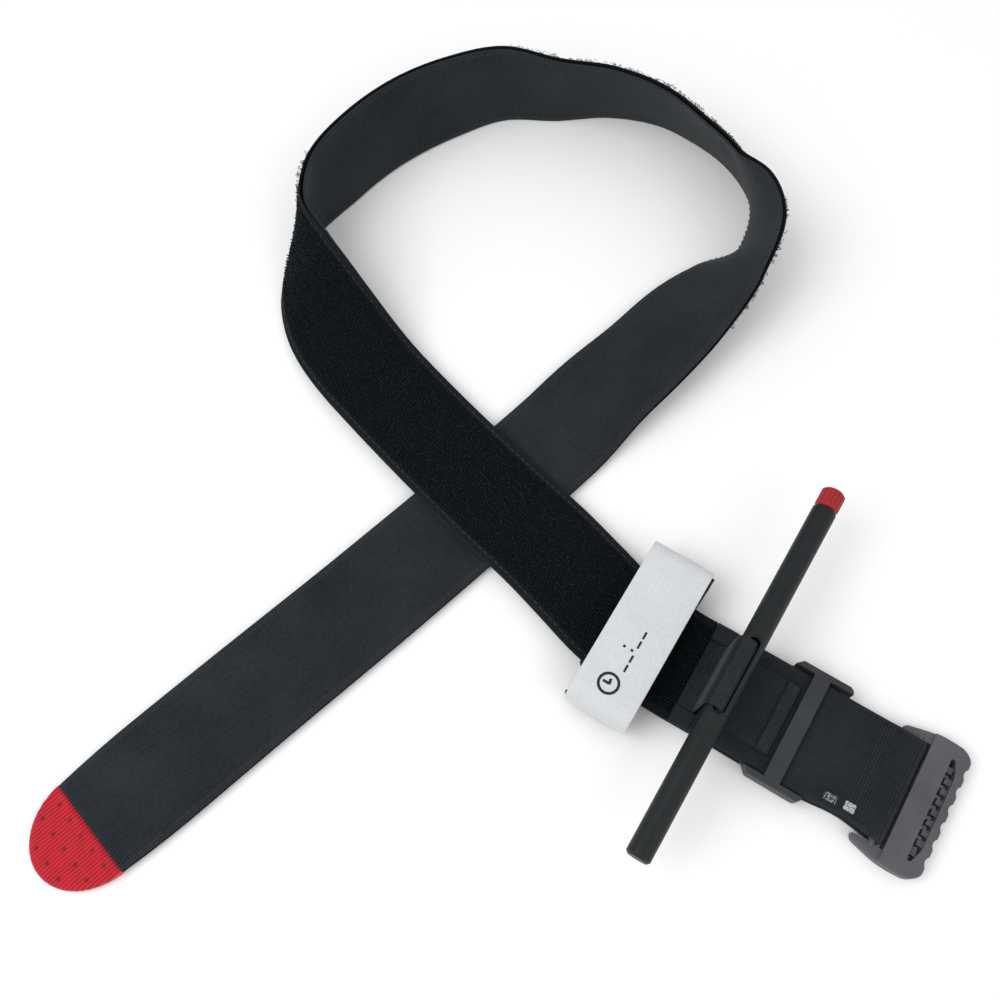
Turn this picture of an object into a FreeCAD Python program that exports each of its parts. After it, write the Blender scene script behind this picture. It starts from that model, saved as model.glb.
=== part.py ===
import FreeCAD, Part
import math
import os

# One-hand windlass tourniquet, laid out as an open loop on a table, in millimetres.
# +X runs along the front of the band towards the end buckle, +Y along the windlass rod towards
# its red plug, +Z is up.  The origin is on the table, under the windlass axis.

# ---------------------------------------------------------------- driving dimensions
BAND_W = 38.0            # width of the outer band
LINING_T = 0.8           # ribbed webbing that faces the limb
PILE_T = 1.5             # loop-pile webbing on the outer side
TENSION_W = 25.0         # free-running band inside the outer band
TENSION_T = 0.9
PLY_GAP = 0.1            # air between plies that are only stitched together
TIP_L = 20.5             # red end of the tail, half an ellipse
TIP_NARROW = 2.6         # the band is this much narrower where the red end begins
TIP_TAPER_L = 30.0       # over this length
TENSION_START = 32.0     # where the inner band is anchored, from the tail's end

PLATE_T = 1.2            # stabiliser plate under the windlass
PLATE_W = 36.0
PLATE_BACK = 46.0        # how far it reaches behind the windlass axis
PLATE_FRONT = 12.0       # and in front of it
PLATE_CORNER = 4.0

CLIP_X = -32.3           # middle of the windlass clip and of the time strap
CLIP_L = 20.4
CLIP_T = 1.3             # clip base
CLIP_WALL = 2.5
CLIP_SIDE_GAP = 4.0      # band edge to clip wall
CLIP_LIP = 3.8           # how far each hook reaches in over the rod
CLIP_LIP_T = 1.4

TIME_W = 22.4            # white time strap: width along the band
TIME_SIDE_GAP = 5.1      # clip wall to the outside of the closed strap's ends
TIME_T = 0.7             # white face
BACKING_T = 0.6          # black hook backing
TIME_BASE_T = 0.9        # the fixed lower run of the time strap
TIME_R = 5.5             # bend of the closed strap, outside
TIME_LAP_Z = 6.0         # lower end of the flap on its closing side
TIME_LAP_GAP = 0.25
TIME_JOIN_GAP = 0.9      # the flap begins this far above its fold line
BASE_TRIM = 0.5          # the fixed run is this much narrower at each edge
BACKING_TRIM = 0.6       # and the flap's backing this much
BASE_SHORT = 1.0         # the fixed run's near end stops this far below the fold line
TIME_FOLD_GAP = 0.35     # the flap folds about a line this far outside the closed strap

ROD_R = 4.1
ROD_SHORT = 64.1         # slot middle to the plain end
ROD_LONG = 66.3          # slot middle to the plug end
ROD_CHAMFER = 0.8
ROD_LIFT = 0.4           # air between the rod and whatever it swings over
SLOT_L = 28.0
SLOT_W = 4.2
SLOT_BEVEL = 0.7
ROD_WRAP_GAP = 0.4       # band clear of the rod that it is wound over
TWIST_DROP = 4.3         # the inner band twists this far under the rod as the rod turns
LEG_BEND = 2.0           # bend where the inner band rises to the rod
RUN_BEND = 3.0           # bend where it lies down again in front of the rod

PLUG_L = 7.2             # knurled red head
PLUG_RIBS = 16
PLUG_STEM_R = 2.4
PLUG_STEM_L = 15.0
PLUG_FIT = 0.06          # radial clearance of the stem in the rod
KNURL_R = 0.45

STRAP_W = 37.0           # buckle strap
STRAP_T = 1.6
STRAP_BACK = 16.0        # its lower run reaches this far behind the windlass axis
BAND_END_X = -4.0        # front end of the outer band, under the rod
PILE_WINDOW_X = -11.5    # where the inner band comes out through the pile
FOLD_HALF = 3.8          # stitched fold under the rod
BAR_R = 1.2              # attachment bar of the end buckle
BAR_FIT = 0.2            # strap loop clear of that bar
BAR_SPACE = 2 * (BAR_R + BAR_FIT)   # air between the two runs of the strap
SEAM_XS = (50.0, 52.0)   # two rows of thread across the strap
SEAM_W = 0.5
SEAM_H = 0.2
SEAM_INSET = 2.0

SLIDER_X = 15.0          # ladder slider, end nearest the windlass
SLIDER_L = 21.8
SLIDER_W = 42.6
SLIDER_RAIL = 2.1
SLIDER_END_BAR = 3.5
SLIDER_MID_BAR = 5.5
SLIDER_CHAMFER = 3.3
SLIDER_ROUND = 2.2
SLIDER_FIT = 0.25        # strap clear of the slider's bars
SLIDER_BAR_T = 2.2       # end bars
SLIDER_MID_T = 1.9
SLIDER_CORNER = 0.8
SLIDER_EDGE_R = 0.45
TENSION_END_X = 20.8     # hemmed end of the inner band
HEM_L = 3.8

BUCKLE_BAR_X = 62.0      # end buckle: attachment bar axis
BUCKLE_ARM_X = 55.6      # free ends of its two arms
BUCKLE_FAR_X = 79.4      # scalloped outer edge
BUCKLE_HALF_W = 23.8
BUCKLE_H = 5.8
BUCKLE_EDGE_R = 0.9
BUCKLE_STEP = 1.2        # the arms are this much lower than the wide bar
BUCKLE_SIDE_GAP = 0.7    # strap edge to arm
BUCKLE_BAR_GAP = 2.7     # attachment bar to the wide bar
BUCKLE_WIDE_BAR = 7.3
BUCKLE_SLOT_W = 3.2      # toothed slot the tail is routed through
BUCKLE_SLOT_HALF = 18.2
TEETH = 9
TOOTH_PITCH = 3.7
TOOTH_W = 2.1
TOOTH_L = 1.9
TOOTH_LOW = 1.2          # teeth clear of the two faces
TOOTH_HIGH = 1.6
TOOTH_FLAT = 9.0         # the slot's far side is straight this far from its middle, then curves in
TOOTH_CURVE = 0.055
SCALLOPS = 6
SCALLOP_PITCH = 6.3
SCALLOP_DEPTH = 1.0

# Route of the band's centre line from the tail's end to the windlass: x, y, lean and rise.
# Lean turns the ribbed face: 0 lies flat with the ribs up, 90 stands on edge, 180 lies flat with
# the pile up.  Rise is the height of the lower edge over the table.
ROUTE = [
    (-157.4, -164.2, 0.0, 0.0),
    (-138.0, -99.0, 0.0, 0.0),
    (-111.5, -12.0, 0.0, 0.0),
    (-98.9, 33.2, 0.0, 0.0),
    (-93.6, 53.2, 0.0, 0.0),
    (-88.8, 74.2, 9.0, 0.0),
    (-82.5, 96.0, 16.0, 0.0),
    (-77.5, 117.0, 22.0, 0.0),
    (-72.0, 137.0, 41.0, 0.0),
    (-68.4, 155.6, 71.0, 0.0),
    (-74.0, 168.2, 89.0, 0.0),
    (-85.4, 179.0, 111.0, 0.0),
    (-102.6, 187.8, 115.0, 0.0),
    (-124.2, 192.2, 112.0, 0.0),
    (-147.8, 187.3, 105.0, 0.0),
    (-167.6, 176.4, 97.0, 0.0),
    (-188.0, 167.5, 88.0, 0.0),
    (-202.0, 151.0, 82.0, 0.0),
    (-214.2, 128.2, 79.0, 0.0),
    (-220.2, 104.0, 80.0, 0.0),
    (-221.4, 83.0, 89.0, 0.0),
    (-217.2, 66.4, 107.0, 0.0),
    (-206.3, 55.4, 128.0, 0.3),
    (-193.0, 47.0, 148.0, 1.2),
    (-176.7, 40.2, 167.0, 2.6),
    (-157.7, 34.2, 179.0, 3.7),
    (-129.7, 26.1, 180.0, 3.7),
    (-99.6, 18.2, 180.0, 3.7),
    (-73.6, 12.0, 180.0, 3.7),
    (-57.9, 7.3, 180.0, 3.7),
    (-44.0, 3.1, 180.0, 3.7),
    (-32.0, 1.0, 180.0, 3.7),
    (-20.0, 0.0, 180.0, 3.7),
    (BAND_END_X, 0.0, 180.0, 3.7),
]
STEP_L = 9.0             # spacing of the band's cross-sections along the route

# ---------------------------------------------------------------- heights, from the table up
BAND_T = LINING_T + TENSION_T + PILE_T + 2 * PLY_GAP
TIME_BASE_Z = PLATE_T + PLY_GAP
CLIP_Z = TIME_BASE_Z + TIME_BASE_T + PLY_GAP
BAND_Z = ROUTE[-1][3]
TENSION_Z = BAND_Z + LINING_T + PLY_GAP + TENSION_T / 2
BAND_TOP = BAND_Z + BAND_T
LIP_Z = BAND_TOP + 2 * ROD_R + 2 * ROD_LIFT
CLIP_TOP = LIP_Z + CLIP_LIP_T
CLIP_HALF = BAND_W / 2 + CLIP_SIDE_GAP + CLIP_WALL
TIME_HALF = CLIP_HALF + TIME_SIDE_GAP
BACKING_Z = CLIP_TOP + PLY_GAP
TIME_Z = BACKING_Z + BACKING_T + PLY_GAP / 2
TIME_TOP = TIME_Z + TIME_T
ROD_Z = TIME_TOP + ROD_LIFT + ROD_R
STRAP_LOW_Z = PLATE_T + PLY_GAP
STRAP_TOP_Z = STRAP_LOW_Z + STRAP_T + BAR_SPACE
STRAP_TOP = STRAP_TOP_Z + STRAP_T
BAR_Z = STRAP_LOW_Z + STRAP_T + BAR_SPACE / 2
SPLIT_Z = ROD_Z - ROD_R - TWIST_DROP
SPLIT_GAP = 0.3
RUN_Z = STRAP_TOP + PLY_GAP + TENSION_T / 2


def save(name, shape):
    """Write one named piece."""
    shape.exportStep("parts/" + name + ".step")


def vec(x, y, z):
    return FreeCAD.Vector(x, y, z)


def box(x0, x1, y0, y1, z0, z1):
    """Block between two corners."""
    return Part.makeBox(x1 - x0, y1 - y0, z1 - z0, vec(x0, y0, z0))


# ---------------------------------------------------------------- rounded outlines and bent strips
def corner_arc(before, corner, after, radius):
    """Tangent points and the mid point of the arc that rounds one corner of an outline."""
    to_before = (before - corner).normalize()
    to_after = (after - corner).normalize()
    half = to_before.getAngle(to_after) / 2
    back = radius / math.tan(half)
    middle = (to_before + to_after).normalize()
    nearest = radius / math.sin(half) - radius
    return corner + to_before * back, corner + middle * nearest, corner + to_after * back


def rounded_edges(points, radii, closed):
    """Straight runs joined by tangent arcs.  A radius of 0 keeps the corner sharp."""
    count = len(points)
    edges = []
    pen = None
    first = None
    for i in range(count):
        here = points[i]
        end_of_open = not closed and i in (0, count - 1)
        if end_of_open or radii[i] < 0.01:
            stops = [here]
        else:
            stops = list(corner_arc(points[i - 1], here, points[(i + 1) % count], radii[i]))
        if pen is not None and (stops[0] - pen).Length > 1e-4:
            edges.append(Part.LineSegment(pen, stops[0]).toShape())
        if len(stops) == 3:
            edges.append(Part.Arc(*stops).toShape())
        if first is None:
            first = stops[0]
        pen = stops[-1]
    if closed and (first - pen).Length > 1e-4:
        edges.append(Part.LineSegment(pen, first).toShape())
    return edges


def plate(outline, height):
    """Closed outline of (x, y, z, corner radius), raised along +Z."""
    points = [vec(x, y, z) for x, y, z, r in outline]
    edges = rounded_edges(points, [r for x, y, z, r in outline], True)
    return Part.Face(Part.Wire(edges)).extrude(vec(0, 0, height))


def soften(solid, radius):
    """Round every level edge of an upright plate."""
    level = [edge for edge in solid.Edges if edge.BoundBox.ZLength < 1e-6]
    return solid.makeFillet(radius, level)


def strip(path, thickness, across, width):
    """Strap bent in one plane: a centre line of (point, bend radius), offset to both sides by half
    the thickness, then carried along the direction across by the width, centred on the path."""
    points = [p for p, r in path]
    runs = [(b - a).normalize() for a, b in zip(points, points[1:])]
    sides = []
    for sign in (1, -1):
        shifted = []
        radii = []
        for i, (point, radius) in enumerate(path):
            before = runs[max(i - 1, 0)]
            after = runs[min(i, len(runs) - 1)]
            normal = (before.cross(across) + after.cross(across)).normalize()
            mitre = thickness / 2 / normal.dot(after.cross(across))
            shifted.append(point + normal * (sign * mitre))
            turn = before.cross(after).dot(across)
            inner = (turn > 0) == (sign < 0)
            radii.append(radius - thickness / 2 if inner else radius + thickness / 2)
        sides.append(rounded_edges(shifted, radii, False))
    near, far = sides
    ends = [Part.LineSegment(near[0].firstVertex().Point, far[0].firstVertex().Point).toShape(),
            Part.LineSegment(near[-1].lastVertex().Point, far[-1].lastVertex().Point).toShape()]
    wire = Part.Wire(Part.__sortEdges__(near + far + ends))
    face = Part.Face(wire)
    face.translate(across * (-width / 2))
    return face.extrude(across * width)


# ---------------------------------------------------------------- the band's laid-out route
def slopes(places, values, steady):
    """Slope of a smooth curve at each station.  With steady it never overshoots a station."""
    steps = [(b - a) / (q - p) for a, b, p, q in zip(values, values[1:], places, places[1:])]
    result = [steps[0]]
    for i in range(1, len(steps)):
        before, after = steps[i - 1], steps[i]
        ahead, behind = places[i + 1] - places[i], places[i] - places[i - 1]
        mean = (before * ahead + after * behind) / (ahead + behind)
        if steady:
            limit = 2 * min(abs(before), abs(after))
            mean = 0.0 if before * after <= 0 else math.copysign(min(abs(mean), limit), mean)
        result.append(mean)
    return result + [steps[-1]]


PLACES = [0.0]
for here, there in zip(ROUTE, ROUTE[1:]):
    PLACES.append(PLACES[-1] + math.hypot(there[0] - here[0], there[1] - here[1]))
COLUMNS = [[row[k] for row in ROUTE] for k in range(4)]
SLOPES = [slopes(PLACES, column, k > 1) for k, column in enumerate(COLUMNS)]
ROUTE_L = PLACES[-1]


def route_at(place):
    """Position, lean, rise and heading of the route at a distance along it, by cubic pieces."""
    i = 0
    while i < len(PLACES) - 2 and PLACES[i + 1] < place:
        i += 1
    span = PLACES[i + 1] - PLACES[i]
    t = (place - PLACES[i]) / span
    values = []
    rates = []
    for column, slope in zip(COLUMNS, SLOPES):
        a, b = column[i], column[i + 1]
        m, n = slope[i] * span, slope[i + 1] * span
        value = a * (2 * t**3 - 3 * t**2 + 1) + b * (3 * t**2 - 2 * t**3)
        values.append(value + m * (t**3 - 2 * t**2 + t) + n * (t**3 - t**2))
        rates.append((b - a) * 6 * (t - t**2) + m * (3 * t**2 - 4 * t + 1) + n * (3 * t**2 - 2 * t))
    x, y, lean, rise = values
    return x, y, lean, rise, math.atan2(rates[1], rates[0])


def section(place):
    """Centre, width direction and face normal of the band at a distance along its route."""
    x, y, lean, rise, heading = route_at(place)
    lean = math.radians(lean)
    aside = vec(math.sin(heading), -math.cos(heading), 0) * math.cos(lean)
    across = aside + vec(0, 0, math.sin(lean))
    normal = across.cross(vec(math.cos(heading), math.sin(heading), 0))
    half = BAND_W / 2 * math.sin(lean) + BAND_T / 2 * abs(math.cos(lean))
    return vec(x, y, rise + half), across, normal


def outer_width(place):
    """Width of the outer band, which narrows a little towards its red end."""
    near_tip = max(0.0, 1 - (place - TIP_L) / TIP_TAPER_L)
    return BAND_W - TIP_NARROW * near_tip**2


def inner_width(place):
    """Width of the inner band, the same all along."""
    return TENSION_W


def ribbon(start, end, width, low, high):
    """One ply of the band between two places on the route.  width gives its width at a place;
    low and high are its two faces, measured from the band's middle towards the ribbed side."""
    between = [k * STEP_L for k in range(int(ROUTE_L / STEP_L) + 1)]
    places = [start] + [p for p in between if start + 2 < p < end - 2] + [end]
    frames = [section(place) for place in places]
    corners = [(-1, low), (1, low), (1, high), (-1, high)]
    rails = []
    for side, depth in corners:
        curve = Part.BSplineCurve()
        points = [c + w * (side * width(place) / 2) + n * depth
                  for place, (c, w, n) in zip(places, frames)]
        curve.interpolate(Points=points, Parameters=places)
        rails.append(curve)
    faces = [rails[i].makeRuledSurface(rails[(i + 1) % 4]).toShape() for i in range(4)]
    for place in (start, end):
        ring = [rail.value(place) for rail in rails]
        faces.append(Part.Face(Part.makePolygon(ring + [ring[0]])))
    joined = Part.Shell(faces)
    joined.sewShape()
    solid = Part.Solid(Part.Shell(joined.Faces))
    if solid.Volume < 0:
        solid.reverse()
    return solid


def make_band():
    """The outer band's two plies, the inner band between them, and the red tail end."""
    top = BAND_T / 2
    lining = (top - LINING_T, top)
    tension = (lining[0] - PLY_GAP - TENSION_T, lining[0] - PLY_GAP)
    pile = (-top, -top + PILE_T)
    save("band_lining", ribbon(TIP_L, ROUTE_L, outer_width, *lining))
    outer = ribbon(TIP_L, ROUTE_L, outer_width, *pile)
    half = TENSION_W / 2 + 2 * PLY_GAP
    window = box(PILE_WINDOW_X, BAND_END_X + 1, -half, half, BAND_Z, BAND_TOP + 1)
    save("band_pile", outer.cut(window))
    window_place = ROUTE_L - (BAND_END_X - PILE_WINDOW_X) - 2 * PLY_GAP
    save("tension_band", ribbon(TENSION_START, window_place, inner_width, *tension))

    chord, across, normal = section(TIP_L - PLY_GAP)
    ahead = normal.cross(across)
    half = outer_width(TIP_L) / 2
    base = vec(chord.x, chord.y, 0)
    tip_l = TIP_L - PLY_GAP
    long_half, short_half = max(half, tip_l), min(half, tip_l)
    oval = Part.Ellipse(base + (ahead if tip_l > half else across) * long_half,
                        base + (across if tip_l > half else ahead) * short_half, base)
    whole = Part.Face(Part.Wire(oval.toShape())).extrude(vec(0, 0, BAND_T))
    if whole.Volume < 0:
        whole.reverse()
    front_half = plate([(p.x, p.y, -1.0, 0.0) for p in (
        base + across * BAND_W, base + ahead * BAND_W + across * BAND_W,
        base + ahead * BAND_W - across * BAND_W, base - across * BAND_W)], BAND_T + 2)
    save("red_tip", whole.cut(front_half))


def make_stabiliser():
    """Plate that keeps the twisting band off the limb, and the windlass clip over it."""
    half = PLATE_W / 2
    corners = [(-PLATE_BACK, -half), (PLATE_FRONT, -half), (PLATE_FRONT, half), (-PLATE_BACK, half)]
    save("stabiliser_plate", plate([(x, y, 0.0, PLATE_CORNER) for x, y in corners], PLATE_T))

    outer = CLIP_HALF
    inner = outer - CLIP_WALL
    lip = inner - CLIP_LIP
    x0 = CLIP_X - CLIP_L / 2
    half_profile = [(outer, CLIP_Z, 1.0), (outer, CLIP_TOP, 2.0), (lip, CLIP_TOP, 0.5),
                    (lip, LIP_Z, 0.4), (inner, LIP_Z, 0.6), (inner, CLIP_Z + CLIP_T, 0.6)]
    profile = half_profile + [(-y, z, r) for y, z, r in reversed(half_profile)]
    points = [vec(x0, y, z) for y, z, r in profile]
    edges = rounded_edges(points, [r for y, z, r in profile], True)
    save("windlass_clip", Part.Face(Part.Wire(edges)).extrude(vec(CLIP_L, 0, 0)))


TIME_BEND_Y = TIME_HALF - TIME_T - PLY_GAP / 2
TIME_HINGE_Y = TIME_HALF + TIME_FOLD_GAP
TIME_HINGE_Z = (TIME_BASE_Z + TIME_TOP) / 2


def make_time_strap():
    """Time strap: a fixed run under the clip, and a white-faced flap that closes over it."""
    along = vec(1, 0, 0)
    low = TIME_BASE_Z + TIME_BASE_T / 2
    inner_y = TIME_BEND_Y - BACKING_T - TIME_LAP_GAP - TIME_BASE_T / 2
    bend = TIME_R - TIME_BASE_T
    base = [(vec(CLIP_X, TIME_BEND_Y, TIME_HINGE_Z - 2 * PLY_GAP), 0),
            (vec(CLIP_X, TIME_BEND_Y, low), bend),
            (vec(CLIP_X, -inner_y, low), bend),
            (vec(CLIP_X, -inner_y, TIME_HINGE_Z - BASE_SHORT), 0)]
    save("time_strap_base", strip(base, TIME_BASE_T, along, TIME_W - 2 * BASE_TRIM))

    flap_start = TIME_HINGE_Z + TIME_JOIN_GAP
    for name, thick, z_mid, y_mid, trim in (
            ("time_strap", TIME_T, TIME_Z + TIME_T / 2, TIME_HALF - TIME_T / 2, 0.0),
            ("time_strap_backing", BACKING_T, BACKING_Z + BACKING_T / 2,
             TIME_BEND_Y - BACKING_T / 2, BACKING_TRIM)):
        bend = TIME_R - (TIME_HALF - y_mid)
        flap = [(vec(CLIP_X, y_mid, flap_start), 0),
                (vec(CLIP_X, y_mid, z_mid), bend),
                (vec(CLIP_X, -y_mid, z_mid), bend),
                (vec(CLIP_X, -y_mid, TIME_LAP_Z + trim), 0)]
        save(name, strip(flap, thick, along, TIME_W - 2 * trim))


def make_windlass():
    """Rod with its slot, the pull-out red plug in its end, and the wrap of inner band it carries."""
    axis = vec(0, 1, 0)
    rod = Part.makeCylinder(ROD_R, ROD_SHORT + ROD_LONG, vec(0, -ROD_SHORT, ROD_Z), axis)
    rims = [edge for edge in rod.Edges if len(edge.Vertexes) == 1]
    rod = rod.makeChamfer(ROD_CHAMFER, rims)
    slot = rounded_slot(SLOT_W, SLOT_L, ROD_Z - 2 * ROD_R, 4 * ROD_R)
    upper = rounded_slot(SLOT_W + 2 * SLOT_BEVEL, SLOT_L + 2 * SLOT_BEVEL,
                         ROD_Z + ROD_R - SLOT_BEVEL, ROD_R)
    lower = rounded_slot(SLOT_W + 2 * SLOT_BEVEL, SLOT_L + 2 * SLOT_BEVEL,
                         ROD_Z - 2 * ROD_R + SLOT_BEVEL, ROD_R)
    bore = Part.makeCylinder(PLUG_STEM_R + PLUG_FIT, PLUG_STEM_L + 1.0,
                             vec(0, ROD_LONG - PLUG_STEM_L - 1.0, ROD_Z), axis)
    save("windlass_rod", rod.cut(slot).cut(upper).cut(lower).cut(bore))

    head_y = ROD_LONG + PLY_GAP
    head = Part.makeCylinder(ROD_R, PLUG_L, vec(0, head_y, ROD_Z), axis)
    rims = [edge for edge in head.Edges if len(edge.Vertexes) == 1]
    head = head.makeChamfer(ROD_CHAMFER, rims)
    for i in range(PLUG_RIBS):
        turn = 2 * math.pi * i / PLUG_RIBS
        groove = Part.makeCylinder(KNURL_R, PLUG_L - 2 * ROD_CHAMFER,
                                   vec((ROD_R + 0.1) * math.cos(turn), head_y + ROD_CHAMFER,
                                       ROD_Z + (ROD_R + 0.1) * math.sin(turn)), axis)
        head = head.cut(groove)
    stem = Part.makeCylinder(PLUG_STEM_R, PLUG_STEM_L + PLY_GAP,
                             vec(0, ROD_LONG - PLUG_STEM_L, ROD_Z), axis)
    save("end_plug", head.fuse(stem).removeSplitter())

    outer = ROD_R + ROD_WRAP_GAP + TENSION_T / 2
    in_slot = SLOT_W / 4
    wrap = [(vec(-outer, 0, SPLIT_Z + SPLIT_GAP / 2), 0),
            (vec(-outer, 0, ROD_Z + outer), outer * 0.6),
            (vec(in_slot, 0, ROD_Z + outer), TENSION_T),
            (vec(in_slot, 0, SPLIT_Z + SPLIT_GAP / 2), 0)]
    save("tension_wrap", strip(wrap, TENSION_T, axis, TENSION_W))

    left = [(vec(PILE_WINDOW_X + PLY_GAP, 0, TENSION_Z), 0),
            (vec(-outer, 0, TENSION_Z), LEG_BEND),
            (vec(-outer, 0, SPLIT_Z - SPLIT_GAP / 2), 0)]
    right = [(vec(in_slot, 0, SPLIT_Z - SPLIT_GAP / 2), 0),
             (vec(in_slot, 0, RUN_Z), RUN_BEND),
             (vec(TENSION_END_X, 0, RUN_Z), 0)]
    save("tension_leg", strip(left, TENSION_T, axis, TENSION_W))
    save("tension_run", strip(right, TENSION_T, axis, TENSION_W))
    hem_z = RUN_Z + TENSION_T / 2 + PLY_GAP
    half = TENSION_W / 2
    save("tension_hem", box(TENSION_END_X - HEM_L, TENSION_END_X, -half, half, hem_z,
                            hem_z + TENSION_T))


def rounded_slot(width, length, z0, height):
    """Upright slot along Y with round ends."""
    half_w = width / 2
    half_l = length / 2
    corners = [(-half_w, -half_l), (half_w, -half_l), (half_w, half_l), (-half_w, half_l)]
    return plate([(x, y, z0, half_w * 0.99) for x, y in corners], height)


def make_buckle_strap():
    """Doubled webbing from the stitched fold under the rod, out round the end buckle's bar."""
    axis = vec(0, 1, 0)
    top = STRAP_TOP_Z + STRAP_T / 2
    low = STRAP_LOW_Z + STRAP_T / 2
    bend = (top - low) / 2
    path = [(vec(BAND_END_X + 2 * PLY_GAP, 0, top), 0),
            (vec(BUCKLE_BAR_X + bend, 0, top), bend),
            (vec(BUCKLE_BAR_X + bend, 0, low), bend),
            (vec(-STRAP_BACK, 0, low), 0)]
    save("buckle_strap", strip(path, STRAP_T, axis, STRAP_W))
    half = STRAP_W / 2
    fold = box(-FOLD_HALF, FOLD_HALF, -half, half, STRAP_LOW_Z + STRAP_T + PLY_GAP,
               STRAP_TOP_Z - PLY_GAP)
    save("stitched_fold", fold)
    seam = half - SEAM_INSET
    rows = [box(x, x + SEAM_W, -seam, seam, STRAP_TOP, STRAP_TOP + SEAM_H) for x in SEAM_XS]
    save("seam_rows", Part.makeCompound(rows))


def make_slider():
    """Three-bar slider: two low end bars under the strap, one high middle bar over it."""
    half = SLIDER_W / 2
    x0 = SLIDER_X
    x1 = SLIDER_X + SLIDER_L
    low = STRAP_TOP_Z - SLIDER_FIT - SLIDER_BAR_T
    mid_z = STRAP_TOP + SLIDER_FIT
    high = mid_z + SLIDER_MID_T
    half_side = [(x0, half - SLIDER_CHAMFER, SLIDER_CORNER),
                 (x0 + SLIDER_CHAMFER, half, SLIDER_CORNER), (x1, half, SLIDER_ROUND)]
    outline = [(x, -y, low, r) for x, y, r in half_side]
    outline += [(x, y, low, r) for x, y, r in reversed(half_side)]
    body = soften(plate(outline, high - low), SLIDER_EDGE_R)
    inner = half - SLIDER_RAIL
    far = 2 * SLIDER_L
    body = body.cut(box(x0 - far, x1 + far, -inner, inner, low + SLIDER_BAR_T, high + 1))
    body = body.cut(box(x0 + SLIDER_END_BAR, x1 - SLIDER_END_BAR, -inner, inner, low - 1, high + 1))
    middle = (x0 + x1) / 2
    bar = box(middle - SLIDER_MID_BAR / 2, middle + SLIDER_MID_BAR / 2, -inner - 0.5, inner + 0.5,
              mid_z, high)
    save("slider", body.fuse(bar).removeSplitter())


def make_end_buckle():
    """Routing buckle: round attachment bar, wide bar, toothed slot and scalloped pull edge."""
    inner = STRAP_W / 2 + BUCKLE_SIDE_GAP
    wide = BUCKLE_HALF_W
    half_side = [(BUCKLE_ARM_X, wide - 2.8, 2.6), (BUCKLE_BAR_X + 5.0, wide, 30.0),
                 (BUCKLE_FAR_X - 2.8, wide - 0.5, 6.0), (BUCKLE_FAR_X, wide - 3.4, 3.4)]
    outline = [(x, -y, 0.0, r) for x, y, r in half_side]
    outline += [(x, y, 0.0, r) for x, y, r in reversed(half_side)]
    wide_x = BUCKLE_BAR_X + BAR_R + BUCKLE_BAR_GAP
    arms = soften(plate(outline, BUCKLE_H - BUCKLE_STEP), BUCKLE_EDGE_R)
    grip = soften(plate(outline, BUCKLE_H), BUCKLE_EDGE_R)
    grip = grip.cut(box(BUCKLE_ARM_X - 5, wide_x, -2 * wide, 2 * wide, -1, BUCKLE_H + 1))
    body = arms.fuse(grip).removeSplitter()
    body = body.cut(box(BUCKLE_ARM_X - 5, wide_x, -inner, inner, -1, BUCKLE_H + 1))
    slot_x = wide_x + BUCKLE_WIDE_BAR
    slot_end = BUCKLE_SLOT_HALF
    lens = [(slot_x, -slot_end, -1.0, 0.6), (slot_x + 1.4, -slot_end, -1.0, 0.5),
            (slot_x + BUCKLE_SLOT_W, -slot_end + 5.0, -1.0, 8.0),
            (slot_x + BUCKLE_SLOT_W, slot_end - 5.0, -1.0, 8.0),
            (slot_x + 1.4, slot_end, -1.0, 0.5), (slot_x, slot_end, -1.0, 0.6)]
    body = body.cut(plate(lens, BUCKLE_H + 2))
    for i in range(TEETH):
        y = (i - (TEETH - 1) / 2) * TOOTH_PITCH
        reach = slot_x + BUCKLE_SLOT_W
        reach -= TOOTH_CURVE * max(0.0, abs(y) - TOOTH_FLAT) ** 2
        tooth = box(reach - TOOTH_L, reach + 1.0, y - TOOTH_W / 2, y + TOOTH_W / 2, TOOTH_LOW,
                    BUCKLE_H - TOOTH_HIGH)
        body = body.fuse(tooth)
    dip_r = SCALLOP_PITCH**2 / (8 * SCALLOP_DEPTH) / 2
    for i in range(SCALLOPS):
        y = (i - (SCALLOPS - 1) / 2) * SCALLOP_PITCH
        dip = Part.makeCylinder(dip_r, BUCKLE_H + 2,
                                vec(BUCKLE_FAR_X + dip_r - SCALLOP_DEPTH, y, -1))
        body = body.cut(dip)
    bar = Part.makeCylinder(BAR_R, 2 * inner + 2, vec(BUCKLE_BAR_X, -inner - 1, BAR_Z),
                            vec(0, 1, 0))
    save("end_buckle", body.fuse(bar).removeSplitter())


os.makedirs("parts", exist_ok=True)
make_band()
make_stabiliser()
make_time_strap()
make_windlass()
make_buckle_strap()
make_slider()
make_end_buckle()
print("band length %.0f, rod axis at z %.2f, time hinge y %.2f z %.2f"
      % (ROUTE_L, ROD_Z, TIME_HINGE_Y, TIME_HINGE_Z))
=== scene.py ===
import math

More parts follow.
